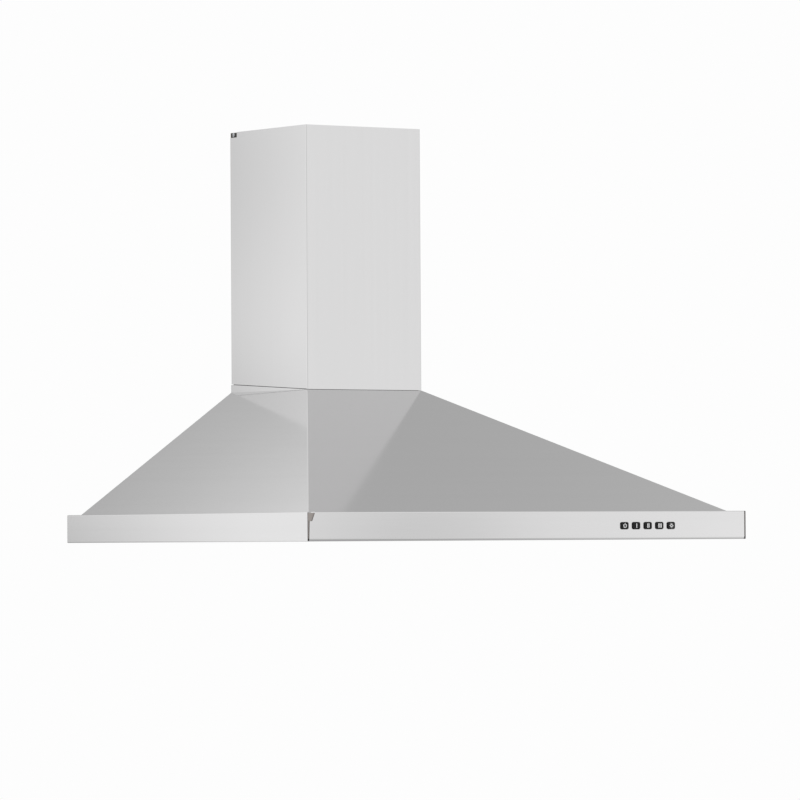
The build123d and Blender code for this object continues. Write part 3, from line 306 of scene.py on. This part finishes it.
def moulded_plastic(name, color, roughness, speck=0.05, texture=0.02 * MM, gloss=0.5):
    """Moulded plastic with a faint spark-eroded texture."""
    finish = Finish(name, color, roughness, specular_ior_level=gloss)
    fine = finish.noise(finish.place(), scale=1600.0)
    broad = finish.noise(finish.place(), scale=30.0)
    finish.tint(finish.mix(fine, broad, 0.4), color, darkest=1 - speck, palest=1 + speck)
    finish.roughen(broad, roughness * 0.88, roughness * 1.15, *NOISE_RANGE)
    finish.feed("Normal", finish.bump(fine, texture, 0.6))
    return finish.material


def cable_sheath():
    """Slightly glossy sheath, scuffed, and a little uneven over its laid-up cores."""
    color = (0.05, 0.05, 0.053)
    finish = Finish("cable_sheath", color, 0.42)
    swells = finish.noise(finish.place(), scale=220.0)
    scuffs = finish.noise(finish.place(), scale=900.0, detail=3.0, roughness=0.6)
    finish.tint(scuffs, color, darkest=0.8, palest=1.5)
    finish.roughen(scuffs, 0.34, 0.55)
    finish.feed("Normal", finish.bump(swells, 0.12 * MM, 0.6))
    return finish.material


def frosted_glass():
    """Lamp glass with a satin-etched face."""
    finish = Finish("frosted_glass", (0.97, 0.98, 0.98), 0.38, transmission_weight=0.85, ior=1.5)
    etch = finish.noise(finish.place(), scale=2200.0)
    finish.roughen(etch, 0.3, 0.48)
    finish.feed("Normal", finish.bump(etch, 0.01 * MM, 0.5))
    return finish.material


def neck_gap_painted_shade():
    """A matt black foam-textured band round the neck, under the chimney's edge: painted shade for the shadow
    in the gap there.
    """
    color = (0.03, 0.03, 0.03)
    finish = Finish("neck_gap_painted_shade", color, 0.8)
    cells = finish.cells(finish.place(), 1500.0, "Distance")
    finish.tint(cells, color, darkest=0.5, palest=1.8)
    finish.feed("Normal", finish.bump(cells, 0.1 * MM))
    return finish.material


def make_materials():
    """Every finish, by its name, which WEARS and PATCHES use too."""
    return {
        "steel_level": stainless("steel_level", "Z", LEVEL_GRAIN),
        "steel_band": stainless("steel_band", "Z", LEVEL_GRAIN, 0.2 * MM, roughness=0.12),
        "steel_upright": stainless("steel_upright", "XY", UPRIGHT_GRAIN, roughness=0.12),
        "steel_flat": stainless("steel_flat", "Y", LEVEL_GRAIN, 0.2 * MM, roughness=0.16),
        "galvanised": galvanised(),
        "filter_aluminium": rolled_aluminium("filter_aluminium", (0.7, 0.71, 0.72), 0.3),
        "cast_aluminium": rolled_aluminium("cast_aluminium", (0.6, 0.61, 0.62), 0.45),
        "turned_steel": turned_steel("turned_steel", (0.6, 0.6, 0.6), 0.25),
        "lamp_bezel": turned_steel("lamp_bezel", (0.68, 0.68, 0.675), 0.12),
        "plated_steel": turned_steel("plated_steel", (0.5, 0.51, 0.53), 0.35),
        "weld_metal": weld_metal(),
        # black-coated steel, worn to the metal in specks; its black is also painted shade for the dark seen
        # through the chimney's corner notches
        "black_steel": grained("black_steel", (0.05, 0.047, 0.04), 0.36, 1500.0, (0.6, 1.6), (0.22, 0.45),
                               detail=3.0, harshness=0.6, metallic=0.6),
        # the sheet's sheared edge, painted dark grey as shade for the shadow line at the bands' front
        # corners, and the chimney's lower edge, left pale and matt
        "cut_edge_painted_shade": grained("cut_edge_painted_shade", (0.2, 0.19, 0.19), 0.5, 2500.0, (0.7, 1.4), stretch=(1, 1, 0.2),
                            metallic=1.0),
        "sheared_edge": grained("sheared_edge", (0.8, 0.8, 0.79), 0.6, 2500.0, (0.9, 1.1), (0.5, 0.7),
                                stretch=(1, 1, 0.3)),
        # matt black rubber with a fine bloom
        "rubber": grained("rubber", (0.022, 0.022, 0.023), 0.62, 400.0, (0.7, 1.9), (0.52, 0.75), 0.05 * MM,
                          detail=4.0, harshness=0.65),
        # the yellow light-emitting chips behind the lamp glass, switched off
        "lamp_phosphor": grained("lamp_phosphor", (0.86, 0.62, 0.12), 0.4, 3000.0, (0.8, 1.1)),
        # the pale print on the keys, a little thin in places
        "print_ink": grained("print_ink", (0.78, 0.78, 0.77), 0.45, 2500.0, (0.72, 1.08), (0.36, 0.58),
                             detail=3.0, harshness=0.7),
        "button_black": moulded_plastic("button_black", (0.008, 0.008, 0.008), 0.3, 0.2, 0.005 * MM,
                                        gloss=0.15),
        "switch_plastic": moulded_plastic("switch_plastic", (0.72, 0.71, 0.67), 0.45),
        "housing_plastic": moulded_plastic("housing_plastic", (0.05, 0.05, 0.054), 0.5, 0.15, 0.05 * MM),
        "fan_plastic": moulded_plastic("fan_plastic", (0.76, 0.76, 0.72), 0.42),
        "electric_grey": moulded_plastic("electric_grey", (0.25, 0.26, 0.27), 0.48, 0.08),
        "capacitor_white": moulded_plastic("capacitor_white", (0.8, 0.8, 0.77), 0.35),
        "gland_nylon": moulded_plastic("gland_nylon", (0.04, 0.04, 0.04), 0.4, 0.15),
        "cable_sheath": cable_sheath(),
        "frosted_glass": frosted_glass(),
        "neck_gap_painted_shade": neck_gap_painted_shade(),
    }


# ---------------------------------------------------------------- which node wears what

SIDE_BANDS = [f"side_band_{hand}" for hand in HANDS]

WEARS = {
    "steel_level": ["canopy_shell"],
    "steel_band": ["front_fascia"] + SIDE_BANDS,
    "steel_upright": ["chimney_cover", "chimney_extension"],
    "steel_flat": ["under_pan"],
    "galvanised": ["rear_panel", "wall_hooks", "switch_bracket", "top_plate", "motor_mount"],
    # the bracket's black stands in as painted shade for what shows through the chimney's notches
    "black_steel": ["chimney_bracket"],
    "filter_aluminium": [f"filter_frame_{hand}" for hand in HANDS],
    "cast_aluminium": [f"lamp_module_{hand}" for hand in HANDS],
    "turned_steel": ["filter_hinges", "latch_catches", "filter_pins_left", "filter_pins_right",
                     "motor_bearings", "damper_pin", "harness_clips", "motor_shaft", "motor_rotor",
                     "motor_stator"],
    "lamp_bezel": [f"lamp_ring_{hand}" for hand in HANDS],
    "plated_steel": ["motor_can", "motor_cap"],
    "button_black": [f"button_{number}" for number in KEYS],
    "switch_plastic": ["switch_body"],
    "housing_plastic": ["fan_housing_front", "fan_housing_rear", "inlet_ring_front", "inlet_ring_rear",
                        "outlet_collar", "damper_flap_front", "damper_flap_rear",
                        "filter_latch_left", "filter_latch_right"],
    "fan_plastic": ["impeller"],
    "electric_grey": ["terminal_box", "terminal_lid"],
    "capacitor_white": ["capacitor"],
    "gland_nylon": ["cable_gland"],
    "rubber": ["motor_bushes"],
    "cable_sheath": ["supply_lead", "switch_harness"],
    "frosted_glass": [f"lamp_lens_{hand}" for hand in HANDS],
}

# Where a second finish shows: the nodes, the finish, and the low and high corners, in millimetres,
# of the box that its faces' centres lie in, on the right of the middle and mirrored on the left
PATCHES = [
    (SIDE_BANDS, "weld_metal", (280, -247.7, 1), (299.1, -246.7, 31.5)),
    # the side bands' front edges, painted dark as the shadow line beside the fascia
    (SIDE_BANDS, "cut_edge_painted_shade", (291, -248.6, -0.1), (300.1, -248.4, 32.1)),
    # the neck under the chimney's edge, covered in painted shade for the gap's shadow
    (["canopy_shell"], "neck_gap_painted_shade", (0, 82.7, 175.1), (77.3, 241, 199.9)),
    (["chimney_cover"], "sheared_edge", (79.3, 81, 175), (79.9, 240, 186)),
]


def dress(materials):
    """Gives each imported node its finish, and its patches theirs."""
    for finish, names in WEARS.items():
        for name in names:
            slots = nodes[name].data.materials
            slots.clear()
            slots.append(materials[finish])
    for names, finish, low, high in PATCHES:
        low, high = Vector(low) * MM, Vector(high) * MM
        for name in names:
            mesh = nodes[name].data
            mesh.materials.append(materials[finish])
            for face in mesh.polygons:
                x, y, z = face.center
                if all(a <= value <= b for a, value, b in zip(low, (abs(x), y, z), high)):
                    face.material_index = len(mesh.materials) - 1


# ---------------------------------------------------------------- mesh helpers

RIGHT = Vector((1, 0, 0))
BACK = Vector((0, 1, 0))
UP = Vector((0, 0, 1))
SQUARE = [(-1, -1), (1, -1), (1, 1), (-1, 1)]
ARC_STEPS = 20


def add_piece(name, bm, material, body):
    """A new piece of the object, riding on a body."""
    mesh = bpy.data.meshes.new(name)
    bmesh.ops.recalc_face_normals(bm, faces=bm.faces)
    bm.to_mesh(mesh)
    bm.free()
    mesh.materials.append(material)
    piece = bpy.data.objects.new(name, mesh)
    bpy.context.scene.collection.objects.link(piece)
    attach(piece, body)
    return piece


def add_prism(bm, outline, base, across, up, height):
    """A straight prism: outline in the plane of across and up from base, raised by height."""
    low = [bm.verts.new(base + across * x + up * y) for x, y in outline]
    top = [bm.verts.new(vertex.co + height) for vertex in low]
    bm.faces.new(low[::-1])
    bm.faces.new(top)
    for i in range(len(low)):
        j = (i + 1) % len(low)
        bm.faces.new((low[i], low[j], top[j], top[i]))


def on_circle(radius, angle):
    return radius * cos(angle), radius * sin(angle)


def add_arc_band(bm, radius, width, start, turn, place):
    """A flat curved stroke of that width along an arc."""
    inner, outer = radius - width / 2, radius + width / 2
    for i in range(ARC_STEPS):
        a, b = start + turn * i / ARC_STEPS, start + turn * (i + 1) / ARC_STEPS
        corners = [on_circle(inner, a), on_circle(outer, a), on_circle(outer, b), on_circle(inner, b)]
        add_prism(bm, corners, *place)


def add_bar(bm, start, end, width, place):
    """A flat straight stroke between two points."""
    (x0, y0), (x1, y1) = start, end
    run = Vector((x1 - x0, y1 - y0))
    side = Vector((-run.y, run.x)).normalized() * width / 2
    corners = [(x0 + side.x, y0 + side.y), (x0 - side.x, y0 - side.y),
               (x1 - side.x, y1 - side.y), (x1 + side.x, y1 + side.y)]
    add_prism(bm, corners, *place)


# ---------------------------------------------------------------- marks on the keys

MARK_STROKE = 0.75 * MM
MARK_DEPTH = 0.05 * MM
MARK_SINK = 0.02 * MM
OFF_RING_RADIUS = 2.0 * MM
OFF_START, OFF_TURN = radians(125), radians(290)
OFF_BAR_LOW, OFF_BAR_HIGH = 0.7 * MM, 2.9 * MM
SPEED_BAR_WIDTH = 0.95 * MM
SPEED_BAR_HALF = 2.4 * MM
SPEED_BAR_SPACING = 1.75 * MM
LAMP_RING_RADIUS = 1.25 * MM
LAMP_RAYS = 8
LAMP_RAY_WIDTH = 0.7 * MARK_STROKE
LAMP_RAY_NEAR, LAMP_RAY_FAR = 2.1 * MM, 2.9 * MM


def key_mark(number, materials):
    """A plain printed mark: off, one, two and three bars for the speeds, and a lamp."""
    low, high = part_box(f"button_{number}")
    base = Vector(((low.x + high.x) / 2, low.y + MARK_SINK, (low.z + high.z) / 2))
    place = (base, RIGHT, UP, BACK * (-MARK_DEPTH - MARK_SINK))
    bm = bmesh.new()
    if number == OFF_KEY:
        add_arc_band(bm, OFF_RING_RADIUS, MARK_STROKE, OFF_START, OFF_TURN, place)
        add_bar(bm, (0, OFF_BAR_LOW), (0, OFF_BAR_HIGH), MARK_STROKE, place)
    elif number == LAMP_KEY:
        add_arc_band(bm, LAMP_RING_RADIUS, MARK_STROKE, 0, 2 * pi, place)
        for i in range(LAMP_RAYS):
            angle = 2 * pi * i / LAMP_RAYS
            near, far = on_circle(LAMP_RAY_NEAR, angle), on_circle(LAMP_RAY_FAR, angle)
            add_bar(bm, near, far, LAMP_RAY_WIDTH, place)
    else:
        count = number - OFF_KEY
        for i in range(count):
            x = (i - (count - 1) / 2) * SPEED_BAR_SPACING
            add_bar(bm, (x, -SPEED_BAR_HALF), (x, SPEED_BAR_HALF), SPEED_BAR_WIDTH, place)
    add_piece(f"key_mark_{number}", bm, materials["print_ink"], f"button_{number}")


# ---------------------------------------------------------------- grease filters

MEDIA_INSET = 1.4 * MM  # from the frame's faces to the outer sheets
LAYER_OFFSET = 1.3 * MM  # from the filter's middle to each finer layer
# Each sheet's diamonds, across and along, and its strands' width, thickness and tilt
OUTER_SHEET = (14 * MM, 7 * MM, 1.5 * MM, 0.5 * MM, 0.9 * MM)
LOWER_LAYER = (7 * MM, 4.2 * MM, 0.8 * MM, 0.35 * MM, 0.8 * MM)
UPPER_LAYER = (6 * MM, 5 * MM, 0.8 * MM, 0.35 * MM, 0.8 * MM)


def add_strand(bm, start, end, width, thick):
    """A flat strip between two points, level across its width."""
    side = Vector((start.y - end.y, end.x - start.x, 0)).normalized() * width / 2
    up = UP * thick / 2
    ring = [[bm.verts.new(p + s * side + t * up) for s, t in ((1, 1), (-1, 1), (-1, -1), (1, -1))]
            for p in (start, end)]
    for i in range(4):
        j = (i + 1) % 4
        bm.faces.new((ring[0][i], ring[0][j], ring[1][j], ring[1][i]))
    bm.faces.new(ring[0][::-1])
    bm.faces.new(ring[1])


def expanded_sheet(bm, low, high, z, pitch_x, pitch_y, strand, thick, lift):
    """Expanded metal over a box: strands that cross in long diamonds, each tilted by lift."""
    columns = max(1, round((high.x - low.x) / pitch_x))
    rows = max(1, round((high.y - low.y) / pitch_y))
    step_x, step_y = (high.x - low.x) / columns, (high.y - low.y) / rows
    for row in range(rows * 2):
        near, far = low.y + row * step_y / 2, low.y + (row + 1) * step_y / 2
        for column in range(columns):
            left = low.x + column * step_x
            middle, right = left + step_x / 2, left + step_x
            spreading = row % 2 == 1
            for side in (left, right):
                start_x, end_x = (middle, side) if spreading else (side, middle)
                add_strand(bm, Vector((start_x, near, z - lift / 2)), Vector((end_x, far, z + lift / 2)),
                           strand, thick)


def filter_media(hand, materials):
    """The stack of aluminium mesh held in one filter: coarse sheets with finer layers between."""
    low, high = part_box(f"filter_mesh_{hand}")
    frame_low, frame_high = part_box(f"filter_frame_{hand}")
    floor, roof = frame_low.z + MEDIA_INSET, frame_high.z - MEDIA_INSET
    middle = (floor + roof) / 2
    material, body = materials["filter_aluminium"], f"filter_{hand}"
    bm = bmesh.new()
    expanded_sheet(bm, low, high, floor, *OUTER_SHEET)
    expanded_sheet(bm, low, high, roof, *OUTER_SHEET)
    coarse = add_piece(f"filter_sheets_{hand}", bm, material, body)
    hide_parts(f"filter_mesh_{hand}")
    bm = bmesh.new()
    expanded_sheet(bm, low, high, middle - LAYER_OFFSET, *LOWER_LAYER)
    expanded_sheet(bm, low, high, middle + LAYER_OFFSET, *UPPER_LAYER)
    add_piece(f"filter_layers_{hand}", bm, material, body)


# ---------------------------------------------------------------- screws

PAN_HEAD_HEIGHT = 2.4 * MM
PAN_SHANK_RADIUS = 2.0 * MM
FIXING_HEAD_HEIGHT = 1.8 * MM
FIXING_SHANK_RADIUS = 1.35 * MM
TURNED_STEPS = 32
DOME_STEPS = 6
# Shares of the head's height or radius, and of the shank's length or radius
HEAD_WALL = 0.35
HEAD_FLAT = 0.55
TIP_RADIUS = 0.6
TIP_START = 0.85
RECESS_DEPTH = 0.62
RECESS_ARM = 0.62
RECESS_WIDTH = 0.2
SAME_CORNER = 0.01 * MM  # corners nearer than this are one


def lathe(bm, profile, place, up, right):
    """A turned solid: profile is (radius, height) from the axis at the bottom to the axis at the top."""
    ahead = up.cross(right)
    rings = []
    for radius, height in profile:
        centre = place + up * height
        if radius == 0:
            rings.append([bm.verts.new(centre)])
            continue
        spots = [on_circle(radius, 2 * pi * i / TURNED_STEPS) for i in range(TURNED_STEPS)]
        rings.append([bm.verts.new(centre + right * x + ahead * y) for x, y in spots])
    for below, above in zip(rings, rings[1:]):
        for i in range(TURNED_STEPS):
            j = (i + 1) % TURNED_STEPS
            if len(below) == 1:
                bm.faces.new((below[0], above[j], above[i]))
            elif len(above) == 1:
                bm.faces.new((below[i], below[j], above[0]))
            else:
                bm.faces.new((below[i], below[j], above[j], above[i]))


def cross_outline(arm, half):
    """A cross: the three corners of one arm, turned four times."""
    corners = [(half, half), (arm, half), (arm, -half)]
    outline = []
    for _ in range(4):
        outline += corners
        corners = [(y, -x) for x, y in corners]
    return outline


def cut(solid, cutter):
    """The mesh of solid less cutter."""
    parts = []
    for name, source in (("solid", solid), ("cutter", cutter)):
        bmesh.ops.recalc_face_normals(source, faces=source.faces)
        mesh = bpy.data.meshes.new(name)
        source.to_mesh(mesh)
        source.free()
        part = bpy.data.objects.new(name, mesh)
        bpy.context.scene.collection.objects.link(part)
        parts.append(part)
    modifier = parts[0].modifiers.new("cut", "BOOLEAN")
    modifier.operation = "DIFFERENCE"
    modifier.solver = "EXACT"
    modifier.object = parts[1]
    graph = bpy.context.evaluated_depsgraph_get()
    result = bpy.data.meshes.new_from_object(parts[0].evaluated_get(graph))
    for part in parts:
        mesh = part.data
        bpy.data.objects.remove(part)
        bpy.data.meshes.remove(mesh)
    return result


def cross_head_screw(bm, place, up, right, head_radius, head_height, shank_radius, shank_length):
    """A pan-head screw with a cross recess, standing on place, its head towards up."""
    profile = [(0, -shank_length), (shank_radius * TIP_RADIUS, -shank_length),
               (shank_radius, -shank_length * TIP_START), (shank_radius, 0), (head_radius, 0),
               (head_radius, head_height * HEAD_WALL)]
    for i in range(1, DOME_STEPS + 1):
        angle = i / DOME_STEPS * pi / 2
        profile.append((head_radius * (HEAD_FLAT + (1 - HEAD_FLAT) * cos(angle)),
                        head_height * (HEAD_WALL + (1 - HEAD_WALL) * sin(angle))))
    profile.append((0, head_height))
    solid = bmesh.new()
    lathe(solid, profile, place, up, right)
    cutter = bmesh.new()
    depth = head_height * RECESS_DEPTH
    outline = cross_outline(head_radius * RECESS_ARM, head_radius * RECESS_WIDTH / 2)
    floor = place + up * (head_height - depth)
    add_prism(cutter, outline[::-1], floor, right, up.cross(right), up * (depth + head_height))
    result = cut(solid, cutter)
    bm.from_mesh(result)
    bpy.data.meshes.remove(result)


def island_boxes(node):
    """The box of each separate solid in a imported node, as (low, high), joined by touching corners."""
    bm = bmesh.new()
    bm.from_mesh(nodes[node].data)
    bmesh.ops.remove_doubles(bm, verts=bm.verts, dist=SAME_CORNER)
    seen, boxes = set(), []
    for start in bm.verts:
        if start in seen:
            continue
        island, queue = [], [start]
        seen.add(start)
        while queue:
            vertex = queue.pop()
            island.append(vertex.co.copy())
            for edge in vertex.link_edges:
                other = edge.other_vert(vertex)
                if other not in seen:
                    seen.add(other)
                    queue.append(other)
        boxes.append((Vector(map(min, zip(*island))), Vector(map(max, zip(*island)))))
    bm.free()
    return boxes


def screw_from_box(bm, low, high, up, right, head_height, shank_radius):
    """A screw that fills a solid's box, its head at the end that up points to."""
    size = high - low
    length = abs(size.dot(up))
    head_radius = size.dot(right) / 2
    place = (low + high) / 2 + up * (length / 2 - head_height)
    cross_head_screw(bm, place, up, right, head_radius, head_height, shank_radius, length - head_height)


def make_screws(materials):
    """Cross-headed screws in place of the plain ones."""
    bm = bmesh.new()
    for low, high in island_boxes("pan_head_screws"):
        upright = high.z - low.z > high.y - low.y
        screw_from_box(bm, low, high, UP if upright else -BACK, RIGHT, PAN_HEAD_HEIGHT, PAN_SHANK_RADIUS)
    screws = add_piece("cross_head_screws", bm, materials["plated_steel"], "hood")
    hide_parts("pan_head_screws")
    bm = bmesh.new()
    for low, high in island_boxes("chimney_screws"):
        outward = RIGHT if low.x > 0 else -RIGHT
        screw_from_box(bm, low, high, outward, BACK, FIXING_HEAD_HEIGHT, FIXING_SHANK_RADIUS)
    fixings = add_piece("chimney_fixing_screws", bm, materials["plated_steel"], "hood")
    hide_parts("chimney_screws")


# ---------------------------------------------------------------- lamps

CHIP_HALF = 1.4 * MM
CHIP_HEIGHT = 0.1 * MM
CHIP_SINK = 0.05 * MM
CHIP_RINGS = [(0.0, 1), (8 * MM, 6), (15.5 * MM, 12)]  # each ring's radius and number of chips


def lamp_chips(hand, materials):
    """The rings of light-emitting chips on one lamp's board, under its glass."""
    low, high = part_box(f"lamp_lens_{hand}")
    face = Vector(((low.x + high.x) / 2, (low.y + high.y) / 2, high.z - CHIP_SINK))
    square = [(x * CHIP_HALF, y * CHIP_HALF) for x, y in SQUARE]
    bm = bmesh.new()
    for radius, count in CHIP_RINGS:
        for i in range(count):
            x, y = on_circle(radius, 2 * pi * i / count)
            add_prism(bm, square, face + RIGHT * x + BACK * y, RIGHT, BACK, UP * CHIP_HEIGHT)
    add_piece(f"lamp_chips_{hand}", bm, materials["lamp_phosphor"], "hood")


# ---------------------------------------------------------------- setting

WHITE = (1.0, 1.0, 1.0, 1.0)
PAPER_WHITE = 0.983
ROOM_COLOR = (0.97, 0.98, 1.0, 1.0)
ROOM_LIGHT = 0.7
TENT_RADIUS = 1.45
TENT_SEGMENTS, TENT_RINGS = 64, 32
TENT_LEVEL = 0.52  # the tent's light where no patch lies
TENT_LEAST = 0.1
# Its soft patches: turn from the wall towards the right, rise, the half width of the even part
# and of the whole, all in degrees, and the light that each adds or takes
TENT_PATCHES = [
    (-75, -3, 38, 57, 0.59),  # the left side
    (-27, 55, 16, 43, 0.74),  # high at the left, towards the wall
    (147, 8, 15, 96, 0.49),  # the front
    (-25, -17, 9, 25, -0.57),  # a dark gap low on the left
    (156, -7, 0, 9, -0.21),  # a smaller one at the front
    (134, -10, 0, 15, 0.14),  # a window low on the right
    (190, -43, 33, 45, -0.24),  # the dim ground in front
    (-30, -34, 8, 16, 0.5),  # the pale ground on the left
]
FLOOR_COLOR = (0.86, 0.86, 0.86, 1.0)
FLOOR_DEPTH = 1.6
FLOOR_HALF = 18.0
FLOOR_GLOW = 0.75  # the share of plain white in what the eye sees of it


def make_world():
    """White to the eye, the metal and the glass; a plain even light on everything else."""
    world = bpy.data.worlds.new("world")
    bpy.context.scene.world = world
    build = NodeTree(world)
    path = build.node("ShaderNodeLightPath")
    seen = path.outputs["Is Camera Ray"]
    for name in ("Is Glossy Ray", "Is Transmission Ray"):
        seen = build.math("MAXIMUM", seen, path.outputs[name])
    plain, white = (build.node("ShaderNodeBackground") for _ in range(2))
    plain.inputs["Color"].default_value = ROOM_COLOR
    plain.inputs["Strength"].default_value = ROOM_LIGHT
    white.inputs["Color"].default_value = WHITE
    white.inputs["Strength"].default_value = PAPER_WHITE
    mixed = build.mix_shaders(seen, plain.outputs["Background"], white.outputs["Background"])
    build.link(mixed, build.node("ShaderNodeOutputWorld").inputs["Surface"])


def tent_light():
    """The tent's glow: its level, and each patch on top, by the angle from the patch's middle."""
    material = bpy.data.materials.new("tent_light")
    build = NodeTree(material)
    coordinates = build.node("ShaderNodeTexCoord")
    unit = build.node("ShaderNodeVectorMath", operation="NORMALIZE")
    build.link(coordinates.outputs["Object"], unit.inputs[0])
    total = TENT_LEVEL
    for turn, rise, even, whole, gain in TENT_PATCHES:
        turn, rise = radians(turn), radians(rise)
        aim = build.node("ShaderNodeVectorMath", operation="DOT_PRODUCT")
        aim.inputs[1].default_value = (sin(turn) * cos(rise), cos(turn) * cos(rise), sin(rise))
        build.link(unit.outputs["Vector"], aim.inputs[0])
        patch = build.node("ShaderNodeMapRange", interpolation_type="SMOOTHSTEP")
        patch.inputs["From Min"].default_value = radians(whole)
        patch.inputs["From Max"].default_value = radians(even)
        patch.inputs["To Max"].default_value = gain
        build.link(build.math("ARCCOSINE", aim.outputs["Value"]), patch.inputs["Value"])
        total = build.math("ADD", patch.outputs["Result"], total)
    emission = build.node("ShaderNodeEmission")
    emission.inputs["Color"].default_value = WHITE
    build.link(build.math("MAXIMUM", total, TENT_LEAST), emission.inputs["Strength"])
    build.link(emission.outputs["Emission"], build.node("ShaderNodeOutputMaterial").inputs["Surface"])
    return material


def make_tent():
    """A light tent that only gloss sees: bright at the front and the left, greyer elsewhere."""
    bm = bmesh.new()
    bmesh.ops.create_uvsphere(bm, u_segments=TENT_SEGMENTS, v_segments=TENT_RINGS, radius=TENT_RADIUS)
    mesh = bpy.data.meshes.new("light_tent")
    bm.to_mesh(mesh)
    bm.free()
    mesh.materials.append(tent_light())
    tent = bpy.data.objects.new("light_tent", mesh)
    tent.location = CENTRE
    bpy.context.scene.collection.objects.link(tent)
    tent.visible_camera = tent.visible_diffuse = tent.visible_shadow = False
    tent.visible_transmission = tent.visible_volume_scatter = False


def floor_paper():
    """Pale and matt, paler to the eye, and clear from underneath."""
    material = bpy.data.materials.new("floor")
    build = NodeTree(material)
    path = build.node("ShaderNodeLightPath")
    geometry = build.node("ShaderNodeNewGeometry")
    matt = build.node("ShaderNodeBsdfDiffuse")
    matt.inputs["Color"].default_value = FLOOR_COLOR
    glow = build.node("ShaderNodeEmission")
    clear = build.node("ShaderNodeBsdfTransparent")
    share = build.math("MULTIPLY", path.outputs["Is Camera Ray"], FLOOR_GLOW)
    lit = build.mix_shaders(share, matt.outputs["BSDF"], glow.outputs["Emission"])
    sided = build.mix_shaders(geometry.outputs["Backfacing"], lit, clear.outputs["BSDF"])
    build.link(sided, build.node("ShaderNodeOutputMaterial").inputs["Surface"])
    return material


def make_floor():
    """A plain pale floor, far below, that keeps the object's shadow."""
    mesh = bpy.data.meshes.new("floor")
    corners = [(x * FLOOR_HALF, y * FLOOR_HALF, -FLOOR_DEPTH) for x, y in SQUARE]
    mesh.from_pydata(corners, [], [(0, 1, 2, 3)])
    mesh.materials.append(floor_paper())
    floor = bpy.data.objects.new("floor", mesh)
    bpy.context.scene.collection.objects.link(floor)


# ---------------------------------------------------------------- lamps of the studio

# Soft square lamps: name, place, width in metres, power in watts
STUDIO_LAMPS = [
    ("key", (-2.2, -3.0, 2.4), 2.5, 70),
    ("fill", (3.0, -2.0, 1.2), 2.5, 25),
    ("back", (0.5, 3.0, 2.0), 2.5, 25),
    ("low", (-0.5, -1.6, -1.4), 2.0, 18),
]


def make_lights():
    """Lamps that light matt surfaces and stay out of the metal's reflections."""
    for name, place, width, power in STUDIO_LAMPS:
        data = bpy.data.lights.new(name, "AREA")
        data.size = width
        data.energy = power
        lamp = bpy.data.objects.new(name, data)
        bpy.context.scene.collection.objects.link(lamp)
        lamp.location = place
        lamp.rotation_mode = "QUATERNION"
        lamp.rotation_quaternion = (Vector(CENTRE) - Vector(place)).to_track_quat("-Z", "Y")
        lamp.visible_glossy = False


# ---------------------------------------------------------------- the scene

bpy.context.scene.view_settings.view_transform = "Standard"
make_camera()
materials = make_materials()
dress(materials)
for number in KEYS:
    key_mark(number, materials)
for hand in HANDS:
    filter_media(hand, materials)
    lamp_chips(hand, materials)
make_screws(materials)
make_world()
make_tent()
make_floor()
make_lights()
